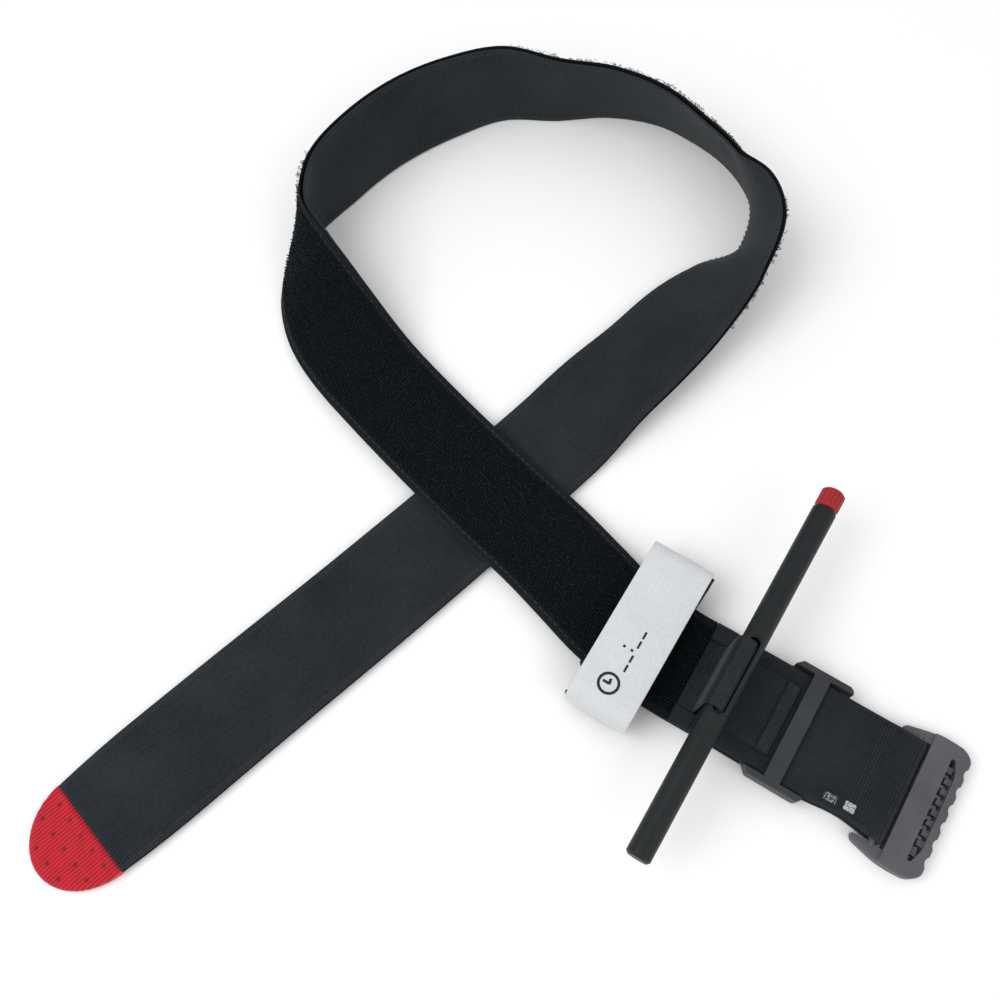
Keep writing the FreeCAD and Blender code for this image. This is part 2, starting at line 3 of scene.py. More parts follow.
import bmesh
import bpy
import numpy as np
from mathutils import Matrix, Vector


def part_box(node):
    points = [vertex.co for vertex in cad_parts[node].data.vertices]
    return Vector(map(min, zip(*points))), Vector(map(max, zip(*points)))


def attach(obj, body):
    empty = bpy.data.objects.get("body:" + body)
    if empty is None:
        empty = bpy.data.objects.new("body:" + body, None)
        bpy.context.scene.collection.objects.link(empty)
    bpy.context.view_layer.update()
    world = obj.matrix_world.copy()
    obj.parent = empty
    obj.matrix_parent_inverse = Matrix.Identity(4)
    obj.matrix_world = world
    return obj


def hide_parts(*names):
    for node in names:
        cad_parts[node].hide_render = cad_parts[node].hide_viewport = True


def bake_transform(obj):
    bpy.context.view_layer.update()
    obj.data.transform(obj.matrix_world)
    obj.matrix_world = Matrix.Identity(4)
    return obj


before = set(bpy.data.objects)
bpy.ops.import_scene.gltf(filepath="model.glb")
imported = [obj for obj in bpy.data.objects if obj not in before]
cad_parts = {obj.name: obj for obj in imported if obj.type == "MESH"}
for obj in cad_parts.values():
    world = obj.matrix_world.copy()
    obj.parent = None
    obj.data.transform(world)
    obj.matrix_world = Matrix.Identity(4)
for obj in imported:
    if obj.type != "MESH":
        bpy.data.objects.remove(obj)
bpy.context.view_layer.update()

# ------------------------------------------------------------------ camera, floor and light
# A white sheet of paper, one wide soft light from the left, a weaker one from the right and a bright
# plain room.  The camera looks down steeply over the red end of the band.
MM = 0.001
LENS = 39.6
SENSOR = 36.0
EYE = (-0.02366, -0.10343, 0.36713)
AIM = (-0.09955, 0.02043, 0.0)
FLOOR_HALF = 3.0
FLOOR_Z = -0.0001
KEY_PLACE = (-0.62, -0.5, 1.1)
KEY_SIZE = 0.9
KEY_POWER = 8.0
FILL_PLACE = (0.8, -0.3, 0.9)
FILL_SIZE = 0.7
FILL_POWER = 2.0
ROOM_STRENGTH = 0.72

scene = bpy.context.scene
scene.view_settings.view_transform = "Standard"


def srgb(red, green, blue):
    """Screen colour of 0 to 255 as linear light: ((c / 255 + 0.055) / 1.055) to the power 2.4."""
    share = np.array([red, green, blue]) / 255
    light = np.where(share < 0.04045, share / 12.92, ((share + 0.055) / 1.055) ** 2.4)
    return (*light.tolist(), 1.0)


def link(thing):
    """Put an object into the scene."""
    scene.collection.objects.link(thing)
    return thing


def face_towards(thing, place, target):
    """Stand an object at a place with its -Z towards a target and +Y up."""
    thing.location = place
    away = np.array(target) - np.array(place)
    thing.rotation_mode = "QUATERNION"
    thing.rotation_quaternion = Vector(away).to_track_quat("-Z", "Y")
    return thing


camera = link(bpy.data.objects.new("camera", bpy.data.cameras.new("camera")))
camera.data.lens = LENS
camera.data.sensor_width = SENSOR
camera.data.clip_start = 0.01
face_towards(camera, EYE, AIM)
scene.camera = camera


def soft_light(name, place, size, power):
    """Square soft box that looks at the middle of the object."""
    lamp = bpy.data.lights.new(name, "AREA")
    lamp.size = size
    lamp.energy = power
    return face_towards(link(bpy.data.objects.new(name, lamp)), place, AIM)


soft_light("key_light", KEY_PLACE, KEY_SIZE, KEY_POWER)
soft_light("fill_light", FILL_PLACE, FILL_SIZE, FILL_POWER)
room = bpy.data.worlds.new("room")
room.use_nodes = True
room.node_tree.nodes["Background"].inputs["Color"].default_value = (1.0, 1.0, 1.0, 1.0)
room.node_tree.nodes["Background"].inputs["Strength"].default_value = ROOM_STRENGTH
scene.world = room


def add(tree, kind, sockets=None, **settings):
    """Add a shader node; each named or numbered socket is linked to a socket or set to a value."""
    made = tree.nodes.new("ShaderNode" + kind)
    for key, value in settings.items():
        setattr(made, key, value)
    for key, value in (sockets or {}).items():
        if isinstance(value, bpy.types.NodeSocket):
            tree.links.new(value, made.inputs[key])
        else:
            made.inputs[key].default_value = value
    return made


def maths(tree, operation, first, second=0.0, third=0.0):
    """One sum on values that change over the surface."""
    return add(tree, "Math", {0: first, 1: second, 2: third}, operation=operation).outputs[0]


def blend_colours(tree, share, low, high):
    """Colour low where share is 0 and high where it is 1."""
    return add(tree, "Mix", {0: share, 6: low, 7: high}, data_type="RGBA").outputs[2]


def new_finish(name, roughness, specular=0.5, sheen=0.0, sheen_roughness=0.5):
    """Empty material: its tree and its shader, with the constants on the shader's own sockets."""
    material = bpy.data.materials.new(name)
    material.use_nodes = True
    tree = material.node_tree
    shader = tree.nodes["Principled BSDF"]
    shader.inputs["Roughness"].default_value = roughness
    shader.inputs["Specular IOR Level"].default_value = specular
    shader.inputs["Sheen Weight"].default_value = sheen
    shader.inputs["Sheen Roughness"].default_value = sheen_roughness
    return material, tree, shader


def paper_finish():
    """Matt white paper with a barely uneven tone."""
    material, tree, shader = new_finish("paper", 0.9, 0.1)
    where = add(tree, "TexCoord").outputs["Object"]
    mottle = add(tree, "TexNoise", {"Vector": where, "Scale": 3.0}).outputs[0]
    tone = blend_colours(tree, mottle, srgb(250, 250, 250), srgb(255, 255, 255))
    tree.links.new(tone, shader.inputs["Base Color"])
    return material


floor_mesh = bpy.data.meshes.new("floor")
floor_mesh.from_pydata(
    [(x, y, FLOOR_Z) for x, y in ((-1, -1), (1, -1), (1, 1), (-1, 1))], [], [(0, 1, 2, 3)]
)
floor_mesh.transform(Matrix.Diagonal((FLOOR_HALF, FLOOR_HALF, 1.0, 1.0)))
floor_mesh.materials.append(paper_finish())
link(bpy.data.objects.new("floor", floor_mesh))

# ------------------------------------------------------------------ ribbed lining of the band
# Woven nylon webbing, 38 mm wide, with fine ribs across it.  It is the face that lies on the limb,
# and runs the whole way from the red end, round the loop, to the windlass.
BAND_W = 38.0
LINING_T = 0.8
PILE_T = 1.5
TENSION_T = 0.9
PLY_GAP = 0.1
BAND_T = LINING_T + TENSION_T + PILE_T + 2 * PLY_GAP
TIP_L = 20.5
TIP_NARROW = 2.6
TIP_TAPER_L = 30.0
RIB_PITCH = 0.95
YARN_PITCH = 0.55
LINING_SELVEDGE = 16.5
LINING_STEP = 1.5
EDGE_POINTS = 5
# Tone and darkening of the wound band's drawn span: painted shade where it rises to and over the rod.
DRAWN_TONE = 0.7
DRAWN_PAINTED_SHADE = 0.1

# Route of the band's centre line: x, y, lean and rise.  Lean turns the ribbed face: 0 lies flat with
# the ribs up, 90 stands on edge, 180 lies flat with the pile up.
ROUTE = np.array([
    (-157.4, -164.2, 0.0, 0.0),
    (-138.0, -99.0, 0.0, 0.0),
    (-111.5, -12.0, 0.0, 0.0),
    (-98.9, 33.2, 0.0, 0.0),
    (-93.6, 53.2, 0.0, 0.0),
    (-88.8, 74.2, 9.0, 0.0),
    (-82.5, 96.0, 16.0, 0.0),
    (-77.5, 117.0, 22.0, 0.0),
    (-72.0, 137.0, 41.0, 0.0),
    (-68.4, 155.6, 71.0, 0.0),
    (-74.0, 168.2, 89.0, 0.0),
    (-85.4, 179.0, 111.0, 0.0),
    (-102.6, 187.8, 115.0, 0.0),
    (-124.2, 192.2, 112.0, 0.0),
    (-147.8, 187.3, 105.0, 0.0),
    (-167.6, 176.4, 97.0, 0.0),
    (-188.0, 167.5, 88.0, 0.0),
    (-202.0, 151.0, 82.0, 0.0),
    (-214.2, 128.2, 79.0, 0.0),
    (-220.2, 104.0, 80.0, 0.0),
    (-221.4, 83.0, 89.0, 0.0),
    (-217.2, 66.4, 107.0, 0.0),
    (-206.3, 55.4, 128.0, 0.3),
    (-193.0, 47.0, 148.0, 1.2),
    (-176.7, 40.2, 167.0, 2.6),
    (-157.7, 34.2, 179.0, 3.7),
    (-129.7, 26.1, 180.0, 3.7),
    (-99.6, 18.2, 180.0, 3.7),
    (-73.6, 12.0, 180.0, 3.7),
    (-57.9, 7.3, 180.0, 3.7),
    (-44.0, 3.1, 180.0, 3.7),
    (-32.0, 1.0, 180.0, 3.7),
    (-20.0, 0.0, 180.0, 3.7),
    (-4.0, 0.0, 180.0, 3.7),
])
STATIONS = np.concatenate([[0.0], np.cumsum(np.hypot(*np.diff(ROUTE[:, :2], axis=0).T))])
ROUTE_L = STATIONS[-1]


def route_slopes(values, steady):
    """Slope at each station: the two neighbouring chords' slopes, each weighted by the length of the
    other chord.  A steady value has at most twice the smaller slope, and none at a peak."""
    span = np.diff(STATIONS)
    chord = np.diff(values) / span
    before, after = chord[:-1], chord[1:]
    mean = (before * span[1:] + after * span[:-1]) / (span[1:] + span[:-1])
    if steady:
        most = 2 * np.minimum(abs(before), abs(after))
        mean = np.where(before * after <= 0, 0.0, np.sign(mean) * np.minimum(abs(mean), most))
    return np.concatenate([chord[:1], mean, chord[-1:]])


def band_course(places):
    """Centre, width direction and ribbed-face normal of the band at each place along its route.
    Each value is a cubic between two stations, a + its slopes, in powers of the share t covered."""
    i = np.clip(np.searchsorted(STATIONS, places) - 1, 0, len(STATIONS) - 2)
    span = STATIONS[i + 1] - STATIONS[i]
    t = (places - STATIONS[i]) / span
    values, rates = [], []
    for k, column in enumerate(ROUTE.T):
        slope = route_slopes(column, k > 1)
        a, b, m, n = column[i], column[i + 1], slope[i] * span, slope[i + 1] * span
        value = a * (2 * t**3 - 3 * t**2 + 1) + b * (3 * t**2 - 2 * t**3)
        values.append(value + m * (t**3 - 2 * t**2 + t) + n * (t**3 - t**2))
        rates.append((b - a) * 6 * (t - t**2) + m * (3 * t**2 - 4 * t + 1) + n * (3 * t**2 - 2 * t))
    x, y, lean, rise = values
    lean = np.radians(lean)
    heading = np.arctan2(rates[1], rates[0])
    zero = np.zeros_like(x)
    ahead = np.stack([np.cos(heading), np.sin(heading), zero], axis=-1)
    aside = np.stack([np.sin(heading), -np.cos(heading), zero], axis=-1)
    across = aside * np.cos(lean)[:, None] + np.array([0, 0, 1.0]) * np.sin(lean)[:, None]
    normal = np.cross(across, ahead)
    half = BAND_W / 2 * np.sin(lean) + BAND_T / 2 * abs(np.cos(lean))
    return np.stack([x, y, rise + half], axis=-1), across, normal


def band_width(places):
    """Width of the outer band: it narrows towards the red end by a square law."""
    near_tip = np.clip(1 - (places - TIP_L) / TIP_TAPER_L, 0, None)
    return BAND_W - TIP_NARROW * near_tip**2


def make_piece(name, points, faces, material, **values):
    """Mesh object from millimetre points, shaded smooth and turned so that its faces look outwards.
    Each extra value is kept on the points: three numbers as a vector, one as a plain number."""
    mesh = bpy.data.meshes.new(name)
    mesh.from_pydata((points.reshape(-1, 3) * MM).tolist(), [], faces)
    for title, numbers in values.items():
        kind = "FLOAT_VECTOR" if numbers.shape[-1] == 3 and numbers.size == points.size else "FLOAT"
        layer = mesh.attributes.new(title, kind, "POINT")
        field = "vector" if kind == "FLOAT_VECTOR" else "value"
        layer.data.foreach_set(field, numbers.astype(np.float32).ravel())
    shape = bmesh.new()
    shape.from_mesh(mesh)
    if shape.calc_volume(signed=True) < 0:
        mesh.flip_normals()
    shape.free()
    mesh.shade_smooth()
    mesh.materials.append(material)
    return link(bpy.data.objects.new(name, mesh))


def skin_faces(stations, count, closed=False):
    """Faces over a stack of rings: each joins two neighbouring points of a ring to the same two on
    the next ring.  The end rings are closed by one face each, or the last ring joins the first."""
    start = np.arange(stations if closed else stations - 1)[:, None]
    ring = np.arange(count)[None, :]
    after = (start + 1) % stations
    beside = (ring + 1) % count
    corners = [start * count + ring, start * count + beside, after * count + beside, after * count + ring]
    faces = np.stack(corners, axis=-1).reshape(-1, 4).tolist()
    if not closed:
        last = (stations - 1) * count
        faces += [list(range(count))[::-1], list(range(last, last + count))]
    return faces


def webbing(name, course, along, width, low, high, material, lift=None, rows=13):
    """Closed strap.  At each station the section is a flat bar with half-round edges: a point lies at
    centre + across * side + normal * depth, where side is share * (half width - half thickness) plus
    half thickness * cos(turn), and depth is the middle plus half thickness * sin(turn)."""
    centre, across, normal = course
    half_t = (high - low) / 2
    face = np.linspace(-1, 1, rows)
    edge = np.linspace(90, -90, EDGE_POINTS + 2)[1:-1]
    share = np.concatenate([face, np.ones(EDGE_POINTS), face[::-1], -np.ones(EDGE_POINTS)])
    turn = np.radians(np.concatenate([np.full(rows, 90), edge, np.full(rows, -90), edge - 180]))
    half_w = np.broadcast_to(np.asarray(width) / 2, along.shape)[:, None]
    side = share * (half_w - half_t) + half_t * np.cos(turn)
    depth = np.broadcast_to((low + high) / 2 + half_t * np.sin(turn), side.shape)
    raised = depth if lift is None else depth + lift(along[:, None], side)
    points = (centre[:, None] + across[:, None] * side[..., None] + normal[:, None] * raised[..., None])
    lie = np.stack([np.broadcast_to(along[:, None], side.shape), side, depth], axis=-1) * MM
    return make_piece(name, points, skin_faces(*side.shape), material, lie=lie)


def new_group(name, inputs, outputs):
    """Empty shader node group with named sockets: its tree, its inside inputs and its outputs."""
    tree = bpy.data.node_groups.new(name, "ShaderNodeTree")
    kinds = {"v": "NodeSocketVector", "f": "NodeSocketFloat", "c": "NodeSocketColor"}
    for title, kind in inputs.items():
        tree.interface.new_socket(title, in_out="INPUT", socket_type=kinds[kind])
    for title, kind in outputs.items():
        tree.interface.new_socket(title, in_out="OUTPUT", socket_type=kinds[kind])
    return tree, tree.nodes.new("NodeGroupInput").outputs, tree.nodes.new("NodeGroupOutput").inputs


def ripple(tree, distance, pitch):
    """Sine of a distance over the surface, with its pitch in millimetres."""
    return maths(tree, "SINE", maths(tree, "MULTIPLY", distance, 2 * math.pi / (pitch * MM)))


def lie_on_strap(tree):
    """Place on the unrolled strap, and its parts: distance along, distance aside and depth."""
    lie = add(tree, "Attribute", attribute_name="lie").outputs["Vector"]
    return lie, add(tree, "SeparateXYZ", {0: lie}).outputs


def set_relief(tree, shader, height, strength, depth):
    """Fine relief of the surface: height runs from 0 to 1, and depth is in millimetres."""
    bump = add(tree, "Bump", {"Height": height, "Strength": strength, "Distance": depth * MM})
    tree.links.new(bump.outputs[0], shader.inputs["Normal"])


def set_colour(tree, shader, share, low, high):
    """Colour the shader: low where share is 0 and high where it is 1."""
    tree.links.new(blend_colours(tree, share, low, high), shader.inputs["Base Color"])


def rib_weave_group():
    """Ribbed weave: ribs are a sine of the distance along the strap over the pitch, wandering with a
    slow noise; yarns are a finer sine across, which shows on the crests.  Tone is a broad mottle."""
    tree, given, out = new_group(
        "rib_weave", {"Lie": "v", "Pitch": "f"}, {"Height": "f", "Crest": "f", "Tone": "f"}
    )
    parts = add(tree, "SeparateXYZ", {0: given["Lie"]}).outputs
    wander = add(tree, "TexNoise", {"Vector": given["Lie"], "Scale": 220.0, "Detail": 1.0}).outputs[0]
    phase = maths(tree, "DIVIDE", parts[0], given["Pitch"])
    phase = maths(tree, "MULTIPLY_ADD", phase, 2 * math.pi, maths(tree, "MULTIPLY", wander, 3.0))
    rib = maths(tree, "SINE", phase)
    crest = maths(tree, "MULTIPLY_ADD", rib, 0.5, 0.5)
    yarn = ripple(tree, parts[1], YARN_PITCH)
    yarn = maths(tree, "MULTIPLY", yarn, maths(tree, "MULTIPLY", crest, 0.22))
    broad = add(tree, "TexNoise", {"Vector": given["Lie"], "Scale": 38.0, "Detail": 4.0}).outputs[0]
    fine = add(tree, "TexNoise", {"Vector": given["Lie"], "Scale": 700.0, "Detail": 2.0}).outputs[0]
    broad = maths(tree, "MULTIPLY_ADD", fine, 0.4, maths(tree, "MULTIPLY", broad, 0.6))
    tree.links.new(maths(tree, "ADD", crest, yarn), out["Height"])
    tree.links.new(crest, out["Crest"])
    tree.links.new(broad, out["Tone"])
    return tree


RIB_WEAVE = rib_weave_group()


def rib_finish(name, valley, crest, pitch, depth, selvedge=0.0, sheen=0.08, drawn_and_shaded=None):
    """Ribbed webbing: dark valleys as painted shade in the rib grooves, lighter crests, a broad mottle,
    and a plainer woven edge that begins at the distance selvedge from the strap's middle.  Between the
    two places along it given by drawn_and_shaded the webbing is pulled smooth and painted darker, as
    painted shade where the wound band rises to and over the rod.  Lengths are in millimetres."""
    material, tree, shader = new_finish(name, 0.8, 0.12, sheen, 0.5)
    lie, parts = lie_on_strap(tree)
    weave = add(tree, "Group", node_tree=RIB_WEAVE)
    tree.links.new(lie, weave.inputs["Lie"])
    weave.inputs["Pitch"].default_value = pitch * MM
    # The crest share lightens the rib tops and leaves the valleys dark: painted shade in the rib grooves.
    shade = maths(tree, "MULTIPLY_ADD", weave.outputs["Crest"], 0.42, -0.35)
    shade = maths(tree, "MULTIPLY_ADD", weave.outputs["Tone"], 1.45, shade)
    height = weave.outputs["Height"]
    if selvedge:
        side = maths(tree, "ABSOLUTE", parts[1])
        rim = maths(tree, "GREATER_THAN", side, selvedge * MM)
        shade = maths(tree, "MULTIPLY_ADD", rim, 0.16, shade)
        height = maths(tree, "MULTIPLY", height, maths(tree, "MULTIPLY_ADD", rim, -0.5, 1.0))
    # In this span the ribs are smoothed and the colour drops to a darker level, as painted shade.
    if drawn_and_shaded:
        past = maths(tree, "GREATER_THAN", parts[0], drawn_and_shaded[0] * MM)
        taut_and_shaded = maths(tree, "MULTIPLY", past, maths(tree, "LESS_THAN", parts[0], drawn_and_shaded[1] * MM))
        level = maths(tree, "MULTIPLY_ADD", weave.outputs["Tone"], DRAWN_TONE, -DRAWN_PAINTED_SHADE)
        painted_shade_change = maths(tree, "SUBTRACT", level, shade)
        shade = maths(tree, "MULTIPLY_ADD", taut_and_shaded, painted_shade_change, shade)
        height = maths(tree, "MULTIPLY", height, maths(tree, "MULTIPLY_ADD", taut_and_shaded, -0.75, 1.0))
    set_colour(tree, shader, shade, valley, crest)
    set_relief(tree, shader, height, 0.9, depth)
    return material


def spread(start, end, step):
    """Evenly spaced places from start to end, about a step apart."""
    return np.linspace(start, end, int((end - start) / step) + 2)


LINING_FINISH = rib_finish("ribbed_nylon", srgb(11, 15, 19), srgb(42, 49, 54), RIB_PITCH, 0.09,
                           LINING_SELVEDGE)
LINING_TOP = BAND_T / 2
LINING_LOW = LINING_TOP - LINING_T

# Soft dents where the standing loop has been folded for storage: place, side, reach and depth.
DENTS = ((372.0, 9.0, 9.0, -1.3), (396.0, -12.0, 11.0, 0.9), (522.0, 4.0, 10.0, 0.8),
         (298.0, 6.0, 13.0, 0.7), (150.0, -7.0, 16.0, 0.5), (96.0, 8.0, 14.0, 0.4))


def band_lift(along, side):
    """Height of the folds on the band: a sum of round dents, depth * exp(-(distance / reach)^2)."""
    total = 0.0
    for place, across, reach, depth in DENTS:
        total = total + depth * np.exp(-((along - place)**2 + (side - across)**2) / reach**2)
    return total


places = spread(TIP_L, ROUTE_L, LINING_STEP)
lining = webbing("ribbed_lining", band_course(places), places, band_width(places),
                 LINING_LOW, LINING_TOP, LINING_FINISH, band_lift)
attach(lining, "band")
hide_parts("band_lining")

# ------------------------------------------------------------------ inner band
# Smooth nylon tape, 25 mm wide, that slides freely between the two outer plies and is pulled short
# by the windlass.  It is sewn down near the red end only.
TENSION_W = 25.0
TENSION_START = 32.0
TENSION_PITCH = 0.8
WINDOW_X = -11.5
TENSION_TOP = LINING_LOW - PLY_GAP
TENSION_FINISH = rib_finish("inner_tape", srgb(11, 14, 17), srgb(38, 44, 48), TENSION_PITCH, 0.08)

window_place = ROUTE_L - (ROUTE[-1, 0] - WINDOW_X) - 2 * PLY_GAP
places = spread(TENSION_START, window_place, 3.0)
inner_band = webbing("inner_band", band_course(places), places, TENSION_W,
                     TENSION_TOP - TENSION_T, TENSION_TOP, TENSION_FINISH, band_lift, rows=7)
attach(inner_band, "band")
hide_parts("tension_band")

# ------------------------------------------------------------------ loop pile of the band
# Loop tape on the outer side, 38 mm wide: a tight black ground with a plain woven edge, and thousands
# of soft nylon loops that the hook tape grips.  It stops just short of the rod.
GROUND_T = 0.6
GROUND_YARN = 0.7
PILE_TOP = -BAND_T / 2 + PILE_T
LOOP_EDGE = 16.3
LOOP_PITCH = 1.08
LOOP_HALF = 0.34
LOOP_HEIGHT = 0.95
LOOP_YARN = 0.17
LOOP_RINGS = 4
LOOP_SHIFT = 0.16
LOOP_SINK = 0.15
# Painted shade at a loop's feet: its tone there is the sine of this angle.
FOOT_SHADE_ANGLE = 0.25
STRAY_SHARE = 0.07
STRAY_HEIGHT = 1.55
PILE_CUTS = (TIP_L, 210.0, 400.0, 590.0, window_place)


def plain_weave(tree, parts, pitch):
    """Fine checker from 0 to 1: a sine along the strap times a sine across it."""
    weft = ripple(tree, parts[0], pitch)
    warp = ripple(tree, parts[1], pitch)
    return maths(tree, "MULTIPLY_ADD", maths(tree, "MULTIPLY", weft, warp), 0.5, 0.5)


def ground_finish():
    """Tightly woven ground: a fine checker of two sines, painted darker under the loops than on its plain
    edge, as painted shade among the pile.
    """
    material, tree, shader = new_finish("pile_ground", 0.85, 0.06, 0.02)
    parts = lie_on_strap(tree)[1]
    check = plain_weave(tree, parts, GROUND_YARN)
    side = maths(tree, "ABSOLUTE", parts[1])
    # The plain edge is lighter; under the loops the ground stays dark as painted shade.
    rim = maths(tree, "GREATER_THAN", side, LOOP_EDGE * MM)
    shade = maths(tree, "MULTIPLY_ADD", rim, 0.4, maths(tree, "MULTIPLY", check, 0.4))
    set_colour(tree, shader, shade, srgb(4, 8, 10), srgb(32, 39, 43))
    set_relief(tree, shader, check, 0.8, 0.1)
    return material


def loop_finish():
    """Soft crimped filament: each loop has its own random tone, and painted shade makes it darker at its
    feet than at its top.
    """
    material, tree, shader = new_finish("pile_loops", 0.7, 0.08, 0.03, 0.4)
    tone = add(tree, "Attribute", attribute_name="tone").outputs["Fac"]
    where = add(tree, "TexCoord").outputs["Object"]
    crimp = add(tree, "TexNoise", {"Vector": where, "Scale": 2500.0, "Detail": 2.0}).outputs[0]
    shade = maths(tree, "MULTIPLY", tone, maths(tree, "MULTIPLY_ADD", crimp, 0.8, 0.5))
    set_colour(tree, shader, shade, srgb(3, 7, 9), srgb(52, 64, 69))
    set_relief(tree, shader, crimp, 0.5, 0.1)
    return material


GROUND_FINISH = ground_finish()
LOOP_FINISH = loop_finish()
places = spread(TIP_L, window_place, 2.0)
ground = webbing("pile_ground", band_course(places), places, band_width(places),
                 PILE_TOP - GROUND_T, PILE_TOP, GROUND_FINISH, band_lift)
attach(ground, "band")
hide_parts("band_pile")


def many_skins(copies, rings, count):
    """Faces of many separate closed tubes, each a stack of the same number of rings."""
    one = skin_faces(rings, count)
    first = np.arange(copies)[:, None, None] * rings * count
    walls = (np.array(one[:-2]) + first).reshape(-1, 4)
    ends = (np.array(one[-2:]) + first).reshape(-1, count)
    return walls.tolist() + ends.tolist()


def tube_field(name, spine, radial, flank, yarn, tone):
    """Many thin three-sided tubes at once: at each ring the corners lie round the middle line at
    yarn * (radial * cos(turn) + flank * sin(turn)).  Each is painted darker towards both of its feet,
    as painted shade where it sinks into the pile."""
    count, rings = spine.shape[:2]
    turn = (np.arange(3) * 2 * math.pi / 3)[:, None]
    points = spine[:, :, None] + yarn * (radial[:, :, None] * np.cos(turn)
                                         + flank[:, None, None] * np.sin(turn))
    points[..., 2] = np.maximum(points[..., 2], 0.0)
    # Tone falls towards both feet of each tube: painted shade at the foot of the pile.
    lift = np.sin(np.clip(np.linspace(0, math.pi, rings), FOOT_SHADE_ANGLE, math.pi - FOOT_SHADE_ANGLE))
    shade = np.repeat((tone[:, None] * lift)[..., None], 3, axis=-1)[..., None]
    return make_piece(name, points, many_skins(count, rings, 3), LOOP_FINISH, tone=shade)


def loop_pile(name, start, end, side_low, side_high, seed):
    """Rows of three-sided yarn arches.  An arch starts and ends in the ground; its middle line is
    half-span * cos(t) along its own bearing and height * sin(t) outwards, for t from 0 to pi."""
    draw = np.random.default_rng(seed)
    rows = np.arange(start + LOOP_PITCH, end - LOOP_PITCH / 2, LOOP_PITCH)
    columns = np.arange(side_low + 0.5, side_high - 0.4, LOOP_PITCH)
    along, side = (grid.ravel() for grid in np.meshgrid(rows, columns, indexing="ij"))
    shift = np.tile(np.arange(len(columns)) % 2, len(rows)) * LOOP_PITCH / 2
    along = along + shift + draw.uniform(-LOOP_SHIFT, LOOP_SHIFT, along.size)
    side = np.clip(side + draw.uniform(-0.18, 0.18, side.size), side_low + 0.3, side_high - 0.3)
    centre, across, normal = band_course(along)
    ahead = np.cross(normal, across)
    bearing = draw.uniform(-0.6, 0.6, along.size)[:, None]
    run = ahead * np.cos(bearing) + across * np.sin(bearing)
    flank = across * np.cos(bearing) - ahead * np.sin(bearing)
    stray = draw.random(along.size) > 1 - STRAY_SHARE
    height = LOOP_HEIGHT * draw.uniform(0.75, 1.1, along.size) * np.where(stray, STRAY_HEIGHT, 1.0)
    lean = draw.uniform(-0.3, 0.3, along.size)
    foot = centre + across * side[:, None] + normal * (
        PILE_TOP - GROUND_T + LOOP_SINK + band_lift(along, side))[:, None]
    t = np.linspace(0, math.pi, LOOP_RINGS)
    spine = (foot[:, None] + run[:, None] * (LOOP_HALF * np.cos(t))[:, None]
             + (flank * lean[:, None] - normal)[:, None] * (height[:, None] * np.sin(t))[..., None])
    radial = run[:, None] * np.cos(t)[:, None] - normal[:, None] * np.sin(t)[:, None]
    return tube_field(name, spine, radial, flank, LOOP_YARN, draw.uniform(0.3, 1.0, along.size) ** 1.6)


for number, (start, end) in enumerate(zip(PILE_CUTS, PILE_CUTS[1:])):
    loops = loop_pile("pile_loops_%d" % number, start, end, -LOOP_EDGE, LOOP_EDGE, 11 + number)
    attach(loops, "band")

# Longer stray loops stand out beyond the upper edge of the standing loop, along its right side, on
# its crown and in one short patch on its left side.
FUZZ_STRETCHES = ((296.0, 338.0, 0.75), (375.0, 470.0, 0.6), (560.0, 578.0, 0.8))
FUZZ_PER_MM = 2.4
FUZZ_SIDE = 17.7
FUZZ_RINGS = 8
FUZZ_YARN = 0.085


def edge_fuzz(name, start, end, reach, seed):
    """Fine arches from the edge of the pile.  An arch's middle line is half-span * cos(t) along the
    band and its own length * sin(t) outwards across it, tipped towards the pile side."""
    draw = np.random.default_rng(seed)
    along = draw.uniform(start, end, int((end - start) * FUZZ_PER_MM))
    side = FUZZ_SIDE + draw.uniform(-0.9, 0.6, along.size)
    centre, across, normal = band_course(along)
    ahead = np.cross(normal, across)
    tip = draw.uniform(-0.2, 0.9, along.size)[:, None]
    out = across * np.cos(tip) - normal * np.sin(tip)
    lean = draw.uniform(-0.35, 0.35, along.size)[:, None]
    length = reach * draw.uniform(0.8, 2.0, along.size)
    half = draw.uniform(0.3, 0.6, along.size)
    depth = PILE_TOP - draw.uniform(0.4, PILE_T, along.size)
    foot = centre + across * side[:, None] + normal * depth[:, None]
    t = np.linspace(0, math.pi, FUZZ_RINGS)
    spine = (foot[:, None] + ahead[:, None] * (half[:, None] * np.cos(t))[..., None]
             + (out + ahead * lean)[:, None] * (length[:, None] * np.sin(t))[..., None])
    radial = ahead[:, None] * np.cos(t)[:, None] + out[:, None] * np.sin(t)[:, None]
    flank = np.cross(ahead, out)
    return tube_field(name, spine, radial, flank, FUZZ_YARN, draw.uniform(0.5, 1.0, along.size))


for number, (start, end, reach) in enumerate(FUZZ_STRETCHES):
    fuzz = edge_fuzz("edge_fuzz_%d" % number, start, end, reach, 31 + number)
    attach(fuzz, "band")

# Beside the windlass two narrow tabs of ribbed webbing carry on, either side of the inner band.
for number, sign in enumerate((-1, 1)):
    places = spread(window_place + 0.1, ROUTE_L, 2.0)
    centre, across, normal = band_course(places)
    inner_edge = TENSION_W / 2 + 2 * PLY_GAP
    tab_w = BAND_W / 2 - inner_edge
    middle = sign * (inner_edge + tab_w / 2)
    tab = webbing("pile_tab_%d" % number, (centre + across * middle, across, normal), places, tab_w,
                  PILE_TOP - PILE_T, PILE_TOP, LINING_FINISH, rows=5)
    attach(tab, "band")

# ------------------------------------------------------------------ edge stitching of the band
# Black bonded thread joins the two outer plies along both edges, in short lock stitches that sink a
# little into each face.
STITCH_EDGE = 17.1
STITCH_PITCH = 2.6
STITCH_L = 1.9
STITCH_IN = 1.6
STITCH_START = 3.0
STITCH_STOP = 14.0
THREAD_R = 0.2
THREAD_SIDES = 6


